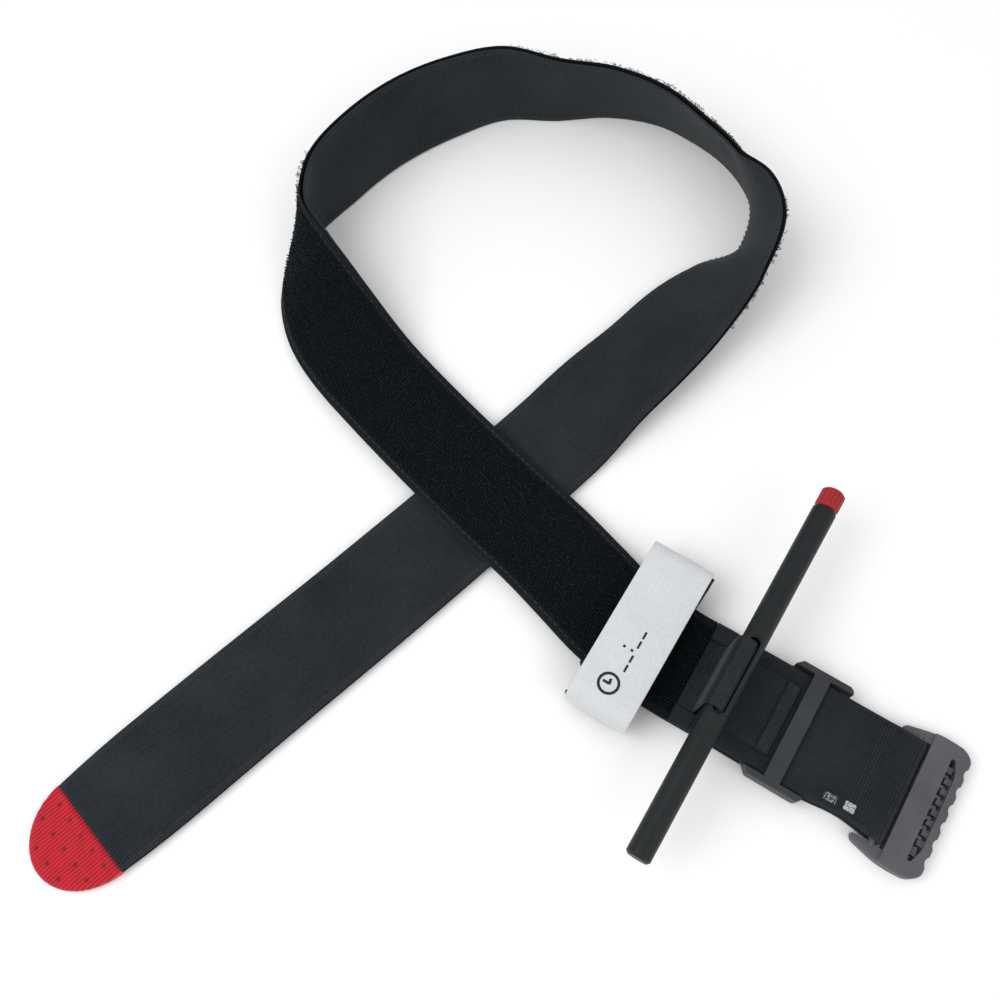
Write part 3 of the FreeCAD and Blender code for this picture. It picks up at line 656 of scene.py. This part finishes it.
def thread_finish():
    """Twisted bonded thread: slanting strands of a fine sine, satin black."""
    material, tree, shader = new_finish("bonded_thread", 0.5, 0.4, 0.1)
    where = add(tree, "TexCoord").outputs["Object"]
    wave = add(tree, "TexWave", {"Vector": where, "Scale": 900.0, "Distortion": 1.0}).outputs["Fac"]
    set_colour(tree, shader, wave, srgb(12, 15, 17), srgb(34, 39, 43))
    set_relief(tree, shader, wave, 0.4, 0.05)
    return material


THREAD_FINISH = thread_finish()


def stitches(name, seat, run, flank, out, length, radius, material):
    """Row of stitches: each is a six-sided bead whose radius swells from 0.35 at its ends to 1 at its
    middle, laid along run at its seat."""
    share = np.array([-0.5, -0.36, 0.0, 0.36, 0.5])
    swell = np.array([0.35, 0.85, 1.0, 0.85, 0.35]) * radius
    turn = np.arange(THREAD_SIDES) * 2 * math.pi / THREAD_SIDES
    spine = seat[:, None] + run[:, None] * (share * length)[:, None]
    ring = (flank[:, None, None] * np.cos(turn)[:, None] + out[:, None, None] * np.sin(turn)[:, None])
    points = spine[:, :, None] + ring * swell[:, None, None]
    return make_piece(name, points, many_skins(len(seat), len(share), THREAD_SIDES), material)


for number, (sign, face) in enumerate(((-1, 1), (1, 1), (-1, -1), (1, -1))):
    places = np.arange(TIP_L + STITCH_START, ROUTE_L - STITCH_STOP, STITCH_PITCH)
    centre, across, normal = band_course(places)
    side = np.minimum(STITCH_EDGE, band_width(places) / 2 - STITCH_IN) * sign
    depth = LINING_TOP if face > 0 else PILE_TOP - GROUND_T
    level = depth + band_lift(places, side)
    seat = centre + across * side[:, None] + normal * level[:, None]
    row = stitches("edge_stitches_%d" % number, seat, np.cross(normal, across), across, normal * face,
                   STITCH_L, THREAD_R, THREAD_FINISH)
    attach(row, "band")

# ------------------------------------------------------------------ red end of the tail
# The tail's end is capped with red ribbed webbing whose ribs run lengthwise, cut to half an oval and
# spot welded through all plies in a square grid so that it won't fray.
RED_PITCH = 1.1
RED_RIB = 0.11
RED_YARN = 0.5
RED_COLUMNS = 235
RED_RINGS = 26
WELD_ROWS = ((3.0, 5), (9.5, 5), (16.0, 3))
WELD_PITCH = 6.2
WELD_R = 0.75
WELD_DEPTH = 0.3


def red_finish():
    """Red ribbed webbing: dark in the valleys between the lengthwise ribs as painted shade, burnt grey at
    each weld.
    """
    material, tree, shader = new_finish("red_ribbed_nylon", 0.66, 0.2, 0.1)
    lie, parts = lie_on_strap(tree)
    weld = add(tree, "Attribute", attribute_name="weld").outputs["Fac"]
    rib = maths(tree, "COSINE", maths(tree, "MULTIPLY", parts[1], 2 * math.pi / (RED_PITCH * MM)))
    yarn = ripple(tree, parts[0], RED_YARN)
    crest = maths(tree, "MULTIPLY_ADD", rib, 0.5, 0.5)
    mottle = add(tree, "TexNoise", {"Vector": lie, "Scale": 260.0, "Detail": 3.0}).outputs[0]
    # The crest lightens the rib tops; the valleys stay dark as painted shade.
    shade = maths(tree, "MULTIPLY_ADD", mottle, 0.5, maths(tree, "MULTIPLY", crest, 0.65))
    cloth = blend_colours(tree, shade, srgb(124, 14, 26), srgb(214, 36, 52))
    set_colour(tree, shader, weld, cloth, srgb(96, 32, 34))
    set_relief(tree, shader, maths(tree, "MULTIPLY_ADD", yarn, 0.2, crest), 0.5, 0.08)
    return material


def red_end():
    """Half oval.  At share s of its half width the length is tip length * sqrt(1 - s^2), and a point
    lies a share t of that length from the straight edge.  Its half thickness fades to nothing at the
    rim as the square root of 1 - t^12; ribs are a cosine of the distance across."""
    chord, across, normal = (part[0] for part in band_course(np.array([TIP_L - PLY_GAP])))
    ahead = np.cross(normal, across)
    half = float(band_width(np.array([TIP_L]))[0]) / 2
    s = np.sin(np.linspace(-1, 1, RED_COLUMNS) * (math.pi / 2 - 0.012))[:, None]
    reach = np.linspace(0, 1, RED_RINGS) ** 0.7
    t = np.concatenate([reach, reach[-2::-1]])[None, :]
    face = np.concatenate([np.ones(RED_RINGS), -np.ones(RED_RINGS - 1)])[None, :]
    side = s * half
    length = (TIP_L - PLY_GAP) * np.sqrt(1 - s**2) * t
    fade = np.sqrt(np.clip(1 - t**12, 0, 1))
    weld = np.zeros(np.broadcast_shapes(side.shape, length.shape))
    for row, count in WELD_ROWS:
        for k in range(count):
            far = np.hypot(side - (k - (count - 1) / 2) * WELD_PITCH, length - row)
            weld = np.maximum(weld, np.clip(1.35 - far / WELD_R, 0, 1))
    rib = RED_RIB * np.cos(2 * math.pi * side / RED_PITCH) - RED_RIB - WELD_DEPTH * weld
    height = BAND_T / 2 + face * fade * (BAND_T / 2 + rib)
    points = (chord * [1, 1, 0] + across * side[..., None] * np.ones_like(height)[..., None]
              - ahead * length[..., None] + np.array([0, 0, 1.0]) * height[..., None])
    lie = np.stack([length, side * np.ones_like(length), height], axis=-1) * MM
    return make_piece("red_end", points, skin_faces(*height.shape), red_finish(), lie=lie,
                      weld=weld[..., None])


red = red_end()
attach(red, "band")
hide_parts("red_tip")

# ------------------------------------------------------------------ stabiliser plate and clip
# A flat black plate under the windlass keeps the skin from being pinched, and a moulded clip with two
# hooks holds the rod once it has been turned.
GRAIN_SIZE = 5200.0


def plastic_group():
    """Moulded plastic: a fine spark-eroded grain, a broad uneven tone, and an edge mask of wear and
    painted highlight where the rounded normal leaves the true one."""
    tree, given, out = new_group(
        "moulded_plastic", {"Round": "f"}, {"Grain": "f", "Tone": "f", "Edge wear and highlight": "f", "Normal": "v"}
    )
    where = add(tree, "TexCoord").outputs["Object"]
    grain = add(tree, "TexNoise", {"Vector": where, "Scale": GRAIN_SIZE, "Detail": 2.0}).outputs[0]
    broad = add(tree, "TexNoise", {"Vector": where, "Scale": 90.0, "Detail": 5.0}).outputs[0]
    rounded = add(tree, "Bevel", {"Radius": given["Round"]}, samples=6).outputs[0]
    true = add(tree, "NewGeometry").outputs["True Normal"]
    same = add(tree, "VectorMath", {0: rounded, 1: true}, operation="DOT_PRODUCT").outputs["Value"]
    edge = maths(tree, "MULTIPLY", maths(tree, "SUBTRACT", 1.0, same), 3.5)
    scuff_and_highlight = maths(tree, "MULTIPLY", edge, maths(tree, "MULTIPLY_ADD", broad, 1.6, -0.2))
    tree.links.new(grain, out["Grain"])
    tree.links.new(broad, out["Tone"])
    tree.links.new(add(tree, "Clamp", {0: scuff_and_highlight}).outputs[0], out["Edge wear and highlight"])
    tree.links.new(rounded, out["Normal"])
    return tree


MOULDED = plastic_group()


def plastic_finish(name, dark, light, worn_and_lit, roughness, specular=0.4, grain=0.02, soft_edge=0.35):
    """Moulded plastic of two close tones, paler on its edges from wear and from a painted highlight.
    Lengths in millimetres.
    """
    material, tree, shader = new_finish(name, roughness, specular)
    mould = add(tree, "Group", node_tree=MOULDED)
    mould.inputs["Round"].default_value = soft_edge * MM
    tone = maths(tree, "MULTIPLY_ADD", mould.outputs["Grain"], 0.5, mould.outputs["Tone"])
    body = blend_colours(tree, maths(tree, "MULTIPLY_ADD", tone, 1.4, -0.55), dark, light)
    # Edges are paler: partly wear, partly a painted highlight.
    set_colour(tree, shader, mould.outputs["Edge wear and highlight"], body, worn_and_lit)
    rough = maths(tree, "MULTIPLY_ADD", mould.outputs["Tone"], 0.16, roughness - 0.08)
    tree.links.new(rough, shader.inputs["Roughness"])
    bump = add(tree, "Bump", {"Height": mould.outputs["Grain"], "Strength": 0.6,
                              "Distance": grain * MM, "Normal": mould.outputs["Normal"]})
    tree.links.new(bump.outputs[0], shader.inputs["Normal"])
    return material


def finish_node(node, material):
    """Give a CAD piece its material."""
    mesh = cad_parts[node].data
    mesh.materials.clear()
    mesh.materials.append(material)


PLATE_FINISH = plastic_finish("black_polymer", srgb(17, 20, 22), srgb(34, 37, 40), srgb(60, 63, 66), 0.5)
finish_node("stabiliser_plate", PLATE_FINISH)
finish_node("windlass_clip", PLATE_FINISH)

# ------------------------------------------------------------------ time strap
# A fixed run of black hook tape passes under the clip.  A white woven flap, backed with the same hook
# tape, is sewn to its far end, folds over the clip and the rod, and presses down on the near side.
CLIP_X = -32.3
TIME_W = 22.4
TIME_T = 0.7
BACKING_T = 0.6
TIME_BASE_T = 0.9
TIME_R = 5.5
TIME_LAP_Z = 6.0
LAP_GAP = 0.25
BASE_SKEW = 0.05
BASE_TRIM = 1.0
HOOK_ROW = 1.6
HOOK_FILE = 1.3
CLOTH_YARN = 0.62
TIME_HALF, TIME_TOP = np.array(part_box("time_strap")[1])[1:] / MM
BASE_LOW_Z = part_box("time_strap_base")[0][2] / MM
HINGE_Z = (BASE_LOW_Z + TIME_TOP) / 2


def bent_line(corners, radii, step=0.35):
    """Straight runs joined by tangent arcs, as points at even steps, with the distance along.  An arc
    of radius r leaves each run r * tan(half the turn) before the corner."""
    line = [np.array(corners[0], float)]
    for before, here, after, radius in zip(corners, corners[1:], corners[2:], radii):
        here = np.array(here, float)
        back = (np.array(before) - here) / np.linalg.norm(np.array(before) - here)
        on = (np.array(after) - here) / np.linalg.norm(np.array(after) - here)
        half = math.acos(float(back @ on)) / 2
        share = np.linspace(-1, 1, 13)[:, None] * (math.pi / 2 - half)
        middle = (back + on) / np.linalg.norm(back + on)
        aside = (on - back) / np.linalg.norm(on - back)
        hub = here + middle * radius / math.sin(half)
        line += list(hub - middle * radius * np.cos(share) + aside * radius * np.sin(share))
    line.append(np.array(corners[-1], float))
    line = np.array(line)
    line = line[np.append(True, np.linalg.norm(np.diff(line, axis=0), axis=1) > 1e-6)]
    gone = np.concatenate([[0.0], np.cumsum(np.linalg.norm(np.diff(line, axis=0), axis=1))])
    along = spread(0.0, gone[-1], step)
    return np.stack([np.interp(along, gone, line[:, k]) for k in range(2)], axis=-1), along


def side_course(line, across, plane, offset):
    """Course of a strap bent in one upright plane: the line's first number runs along that plane's
    level axis, the second is the height, and the face normal is the run crossed with the width."""
    centre = np.array(offset, float) + np.array(plane) * line[:, :1] + [0, 0, 1.0] * line[:, 1:]
    run = np.gradient(centre, axis=0)
    run /= np.linalg.norm(run, axis=1)[:, None]
    across = np.broadcast_to(np.array(across, float), centre.shape)
    return centre, across, np.cross(run, across)


def hook_finish():
    """Hook tape: a close grid of tiny hooks, each a round bump whose tip is painted lighter as a painted
    highlight.
    """
    material, tree, shader = new_finish("hook_tape", 0.5, 0.35, 0.1)
    parts = lie_on_strap(tree)[1]
    rows = ripple(tree, parts[0], HOOK_ROW)
    files = ripple(tree, parts[1], HOOK_FILE)
    hook = maths(tree, "POWER", maths(tree, "ABSOLUTE", maths(tree, "MULTIPLY", rows, files)), 2.0)
    # Colour is lighter at each hook's peak: a painted highlight.
    set_colour(tree, shader, hook, srgb(10, 11, 13), srgb(58, 60, 64))
    set_relief(tree, shader, hook, 1.0, 0.2)
    return material


def white_cloth_finish():
    """White polyester satin for writing on: a plain fine weave with a cool uneven tone."""
    material, tree, shader = new_finish("white_writing_cloth", 0.62, 0.3, 0.15)
    lie, parts = lie_on_strap(tree)
    weave = plain_weave(tree, parts, CLOTH_YARN)
    broad = add(tree, "TexNoise", {"Vector": lie, "Scale": 70.0, "Detail": 6.0}).outputs[0]
    speck = add(tree, "TexNoise", {"Vector": lie, "Scale": 1500.0, "Detail": 2.0}).outputs[0]
    shade = maths(tree, "MULTIPLY_ADD", weave, 0.25, maths(tree, "MULTIPLY", speck, 0.55))
    shade = maths(tree, "MULTIPLY_ADD", broad, 0.3, shade)
    set_colour(tree, shader, shade, srgb(178, 182, 184), srgb(224, 227, 229))
    set_relief(tree, shader, maths(tree, "MULTIPLY_ADD", speck, 0.6, weave), 0.45, 0.07)
    return material


HOOK_FINISH = hook_finish()
WHITE_FINISH = white_cloth_finish()
FLAP_START_Z = HINGE_Z + 0.2
bend_y = TIME_HALF - TIME_T - PLY_GAP / 2
near_y = bend_y - BACKING_T - LAP_GAP - TIME_BASE_T / 2
base_z = BASE_LOW_Z + TIME_BASE_T / 2
line, along = bent_line([(bend_y, HINGE_Z), (bend_y, base_z), (-near_y, base_z), (-near_y, HINGE_Z - 1)],
                        [TIME_R - TIME_BASE_T, TIME_R - TIME_BASE_T])
base_course = side_course(line, (1, 0, 0), (BASE_SKEW, 1, 0), (CLIP_X, 0, 0))
time_base = webbing("time_strap_fixed_run", base_course, along, TIME_W - BASE_TRIM,
                    -TIME_BASE_T / 2, TIME_BASE_T / 2, HOOK_FINISH)
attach(time_base, "band")
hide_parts("time_strap_base")

for name, node, slot, material, thick, level, trim in (
        ("time_strap_face", "time_strap", "white_label", WHITE_FINISH, TIME_T, TIME_HALF - TIME_T / 2, 0.0),
        ("time_strap_hooks", "time_strap_backing", "hook_tape", HOOK_FINISH, BACKING_T,
         bend_y - BACKING_T / 2, 0.5)):
    top_z = TIME_TOP - (TIME_HALF - level)
    radius = TIME_R - (TIME_HALF - level)
    line, along = bent_line([(level, FLAP_START_Z), (level, top_z), (-level, top_z),
                             (-level, TIME_LAP_Z + trim)], [radius, radius])
    flap = webbing(name, side_course(line, (1, 0, 0), (0, 1, 0), (CLIP_X, 0, 0)), along,
                   TIME_W - 2 * trim, -thick / 2, thick / 2, material)
    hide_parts(node)
    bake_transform(flap)

# Printed mark on the white face: a plain clock dial, then a blank field for hours and minutes.
PRINT_T = 0.03
DIAL_Y = -21.5
DIAL_R = 3.3
STROKE = 0.95
FIELD_Y = -15.8
DASH_L = 2.7
DASH_STEP = 3.6
DASH_X = 2.4
LAST_DASHES = 1.8
HOUR_HAND = 2.1
MINUTE_HAND = 1.7
COLON_XS = (-1.6, 1.2)
COLON_HALF = 0.45
RING_SIDES = 48


def ink_bar(start, end, breadth):
    """Thin raised bar between two points on the white face, as an eight-cornered block."""
    start, end = np.array(start, float), np.array(end, float)
    run = (end - start) / np.linalg.norm(end - start)
    flank = np.array([-run[1], run[0]]) * breadth / 2
    foot = np.stack([start - flank, start + flank, end + flank, end - flank])
    levels = [np.column_stack([foot, np.full(4, TIME_TOP + PRINT_T * k)]) for k in (-1, 1)]
    return np.stack(levels), skin_faces(2, 4)


def ink_ring(middle, radius, breadth):
    """Thin raised ring: a four-cornered section carried round a circle."""
    turn = np.linspace(0, 2 * math.pi, RING_SIDES + 1)[:-1, None]
    reach = radius + breadth / 2 * np.array([-1, 1, 1, -1])
    level = np.broadcast_to(TIME_TOP + PRINT_T * np.array([-1, -1, 1, 1]), (RING_SIDES, 4))
    points = np.stack([middle[0] + reach * np.cos(turn), middle[1] + reach * np.sin(turn), level], axis=-1)
    return points, skin_faces(RING_SIDES, 4, closed=True)


def ink_finish():
    """Screen-printed black ink, broken slightly by the weave under it."""
    material, tree, shader = new_finish("black_ink", 0.7, 0.3)
    where = add(tree, "TexCoord").outputs["Object"]
    speck = add(tree, "TexNoise", {"Vector": where, "Scale": 1800.0, "Detail": 2.0}).outputs[0]
    set_colour(tree, shader, maths(tree, "POWER", speck, 2.0), srgb(14, 15, 17), srgb(74, 76, 80))
    return material


dial = (CLIP_X - 0.9, DIAL_Y)
marks = [ink_ring(dial, DIAL_R, STROKE), ink_bar(dial, (dial[0] - HOUR_HAND, dial[1]), STROKE),
         ink_bar((dial[0] + 0.3, dial[1] - 0.3), (dial[0], dial[1] + MINUTE_HAND), STROKE)]
dash_x = dial[0] + DASH_X
for k in range(4):
    begin = FIELD_Y + DASH_STEP * k + (LAST_DASHES if k > 1 else 0.0)
    marks.append(ink_bar((dash_x, begin), (dash_x, begin + DASH_L), STROKE * 0.8))
colon_y = FIELD_Y + 2 * DASH_STEP + 0.35
for aside in COLON_XS:
    dot_x = dial[0] + aside
    marks.append(ink_bar((dot_x, colon_y - COLON_HALF), (dot_x, colon_y + COLON_HALF), 2 * COLON_HALF))
starts = np.cumsum([0] + [points.reshape(-1, 3).shape[0] for points, faces in marks])
ink_points = np.concatenate([points.reshape(-1, 3) for points, faces in marks])
ink_faces = [[c + first for c in face] for first, (points, faces) in zip(starts, marks) for face in faces]
time_print = make_piece("time_print", ink_points, ink_faces, ink_finish())
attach(time_print, "time_flap")

# ------------------------------------------------------------------ buckle strap
# Stiff ribbed webbing, 37 mm wide, doubled over the end buckle's round bar.  Its upper run carries the
# slider; the end under the rod is sewn through a spacer, and two seam rows cross it by the buckle.
STRAP_W = 37.0
STRAP_T = 1.6
BAR_X = 62.0
STRAP_PITCH = 1.0
STRAP_SELVEDGE = 16.8
PINCH = 1.4
PINCH_X = 49.0
PINCH_REACH = 9.0
BULGE = 0.75
BULGE_X = 54.0
BULGE_REACH = 5.5
RIPPLE = 0.12
strap_low, strap_high = (np.array(corner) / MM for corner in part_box("buckle_strap"))
top_z = strap_high[2] - STRAP_T / 2
low_z = strap_low[2] + STRAP_T / 2
bend = (top_z - low_z) / 2
STRAP_FINISH = rib_finish("buckle_webbing", srgb(10, 13, 16), srgb(40, 45, 50), STRAP_PITCH, 0.09,
                          STRAP_SELVEDGE)


def strap_lift(along, side):
    """The upper run bulges a little before the end buckle: exp(-(distance / reach)^2), strongest in
    the middle of the strap, with a low sine over it."""
    x = ROUTE[-1, 0] + along
    near = np.exp(-((x - BULGE_X) / BULGE_REACH) ** 2)
    crown = 1 - 0.5 * (side / (BAND_W / 2)) ** 2
    return BULGE * near * crown + RIPPLE * np.sin(x / 2.1) * near


line, along = bent_line([(strap_low[0], low_z), (BAR_X + bend, low_z), (BAR_X + bend, top_z),
                         (ROUTE[-1, 0] + 2 * PLY_GAP, top_z)][::-1], [bend, bend], 0.6)
pinch = np.exp(-((line[:, 0] - PINCH_X) / PINCH_REACH) ** 2)
centre, across, normal = side_course(line, (0, 1, 0), (1, 0, 0), (0, 0, 0))
centre = centre + [0, PINCH / 2, 0] * pinch[:, None]
strap = webbing("buckle_webbing", (centre, across, normal), along, STRAP_W - PINCH * pinch,
                -STRAP_T / 2, STRAP_T / 2, STRAP_FINISH, strap_lift)
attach(strap, "band")
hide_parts("buckle_strap")

fold_low, fold_high = (np.array(corner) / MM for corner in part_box("stitched_fold"))
line, along = bent_line([(fold_low[0], (fold_low[2] + fold_high[2]) / 2),
                         (fold_high[0], (fold_low[2] + fold_high[2]) / 2)], [])
fold = webbing("stitched_spacer", side_course(line, (0, 1, 0), (1, 0, 0), (0, 0, 0)), along, STRAP_W,
               -(fold_high[2] - fold_low[2]) / 2, (fold_high[2] - fold_low[2]) / 2, STRAP_FINISH)
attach(fold, "band")
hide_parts("stitched_fold")

SEAM_XS = (50.2, 52.2)
SEAM_SPREAD = 15.5
SEAM_PITCH = 2.2
SEAM_SINK = 0.1
SEAM_STITCH = 1.7
sides = np.arange(-SEAM_SPREAD, SEAM_SPREAD + 0.1, SEAM_PITCH)
seam_x, seam_y = (grid.ravel() for grid in np.meshgrid(SEAM_XS, sides))
level = strap_high[2] - SEAM_SINK + strap_lift(seam_x - ROUTE[-1, 0], seam_y)
east, north, upward = np.eye(3)[:, None] * np.ones((seam_x.size, 1))
seam = stitches("strap_seam", np.stack([seam_x, seam_y, level], axis=-1), north, east, upward,
                SEAM_STITCH, THREAD_R, THREAD_FINISH)
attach(seam, "band")
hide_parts("seam_rows")

# Two worn white printed blocks near the strap's edge: middle x and y, size, cover and colour.
CHIP_SCALE = 2200.0
BLOCK_POINTS = 9
BLOCKS = ((44.6, -13.9, 4.2, 2.6, 0.45, srgb(150, 152, 156)),
          (51.0, -13.5, 3.6, 3.0, 0.75, srgb(182, 184, 188)))


def block_finish(name, cover, white):
    """Worn white transfer print: white where a noise is above the threshold, webbing black below."""
    material, tree, shader = new_finish(name, 0.6, 0.3)
    where = add(tree, "TexCoord").outputs["Object"]
    chip = add(tree, "TexNoise", {"Vector": where, "Scale": CHIP_SCALE, "Detail": 3.0}).outputs[0]
    kept = add(tree, "MapRange", {0: chip, 1: 0.62 - 0.3 * cover, 2: 0.72 - 0.3 * cover}).outputs[0]
    set_colour(tree, shader, kept, srgb(28, 30, 33), white)
    return material


for number, (x, y, long, broad, cover, white) in enumerate(BLOCKS):
    block_x = np.linspace(x - long / 2, x + long / 2, BLOCK_POINTS)
    level = strap_high[2] + strap_lift(block_x - ROUTE[-1, 0], y)
    centre = np.stack([block_x, np.full(BLOCK_POINTS, y), level], axis=-1)
    north, upward = np.eye(3)[1:, None] * np.ones((BLOCK_POINTS, 1))
    block = webbing("printed_block_%d" % number, (centre, north, upward), block_x, broad, -0.04, 0.06,
                    block_finish("white_transfer_%d" % number, cover, white), rows=5)
    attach(block, "band")

# ------------------------------------------------------------------ wound part of the inner band
# The inner band comes out through the pile, rises to the rod, goes over its edge and down through the
# slot, and ends in a folded hem under the slider.  It twists as the rod is turned.
WALL_GAP = 0.15
LEG_RISE = 1.5
LEG_RIBS_L = 7.0
LEG_RIB = 0.18
# Span of the wound band that is pulled smooth and painted darker, as painted shade over the rod.
LEG_DRAWN_AND_SHADED = (6.5, 27.0)
LEG_PITCH = 1.35
rod_low, rod_high = (np.array(corner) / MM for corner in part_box("windlass_rod"))
ROD_Z = (rod_low[2] + rod_high[2]) / 2
ROD_R = (rod_high[2] - rod_low[2]) / 2
run_low = np.array(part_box("tension_run")[0]) / MM
leg_low = np.array(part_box("tension_leg")[0]) / MM
hem_low, hem_high = (np.array(corner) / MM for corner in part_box("tension_hem"))
outer = ROD_R + WALL_GAP + TENSION_T / 2
in_slot = run_low[0] + TENSION_T / 2
run_z = run_low[2] + TENSION_T / 2
start_z = leg_low[2] + TENSION_T / 2
hem_z = (hem_low[2] + hem_high[2]) / 2
hem_r = (hem_z - run_z) / 2
wind, along = bent_line([
    (leg_low[0], start_z), (-outer - 0.6, start_z + LEG_RISE), (-outer, ROD_Z + ROD_R / 2),
    (-2.4, ROD_Z + ROD_R + 0.35), (in_slot - 0.1, ROD_Z + ROD_R - 0.9), (in_slot, run_z),
    (hem_high[0] - hem_r, run_z), (hem_high[0], run_z + hem_r), (hem_high[0] - hem_r, hem_z),
    (hem_low[0], hem_z)], [1.6, 3.5, 2.2, 1.6, 3.0, hem_r * 0.4, hem_r * 0.4, hem_r * 0.4], 0.18)


def leg_ribs(along, side):
    """Coarse ribs where the band leaves the pile: a sine of the distance along, fading out by the
    square root of what is left of their length."""
    left = np.sqrt(np.clip(1 - along / LEG_RIBS_L, 0, 1))
    return LEG_RIB * left * np.sin(2 * math.pi * along / LEG_PITCH) + 0 * side


SATIN_FINISH = rib_finish("wound_tape", srgb(12, 15, 18), srgb(46, 51, 55), TENSION_PITCH, 0.08,
                          drawn_and_shaded=LEG_DRAWN_AND_SHADED)
wound = webbing("wound_band", side_course(wind, (0, 1, 0), (1, 0, 0), (0, 0, 0)), along, TENSION_W,
                -TENSION_T / 2, TENSION_T / 2, SATIN_FINISH, leg_ribs, rows=21)
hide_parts("tension_leg", "tension_wrap", "tension_run", "tension_hem")
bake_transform(wound)

# A dense bar tack of thread holds each corner of the hem.
TACK_STEP = 0.42
TACK_COUNT = 4
TACK_IN_X = 1.2
TACK_IN_Y = 0.9
TACK_L = 1.5
TACK_R = 0.19
east, north, upward = np.eye(3)[:, None] * np.ones((TACK_COUNT, 1))
for number, sign in enumerate((-1, 1)):
    tack_y = sign * (TENSION_W / 2 - TACK_IN_Y - TACK_STEP * np.arange(TACK_COUNT))
    tack_x = np.full(TACK_COUNT, hem_high[0] - TACK_IN_X)
    seat = np.stack([tack_x, tack_y, np.full(TACK_COUNT, hem_high[2])], axis=-1)
    tack = stitches("bar_tack_%d" % number, seat, east, north, upward, TACK_L, TACK_R, THREAD_FINISH)
    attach(tack, "band")

# ------------------------------------------------------------------ windlass rod and its red plug
# A glass-filled nylon rod with a long slot through its middle, matt from its mould, and a knurled red
# plug pressed into one end.
ROD_FINISH = plastic_finish("rod_polymer", srgb(11, 16, 18), srgb(26, 32, 35), srgb(46, 52, 54), 0.5,
                            0.3, 0.03, 0.3)
PLUG_FINISH = plastic_finish("red_polymer", srgb(138, 20, 24), srgb(172, 32, 36), srgb(196, 84, 82), 0.45,
                             0.4, 0.02, 0.25)
finish_node("windlass_rod", ROD_FINISH)
finish_node("end_plug", PLUG_FINISH)

# ------------------------------------------------------------------ slider and end buckle
# Moulded acetal.  The slider's high middle bar holds the strap down; the end buckle swings on its round
# bar, takes the tail through its toothed slot, and is gripped by its scalloped edge.
finish_node("slider", plastic_finish("slider_acetal", srgb(34, 37, 40), srgb(54, 57, 61),
                                     srgb(82, 85, 88), 0.5, 0.35, 0.025, 0.4))
# The end buckle is the same acetal as the slider, painted paler as painted light falling on it.
finish_node("end_buckle", plastic_finish("buckle_acetal_painted_lighter", srgb(64, 66, 70), srgb(90, 91, 95),
                                         srgb(116, 117, 120), 0.5, 0.4, 0.025, 0.4))
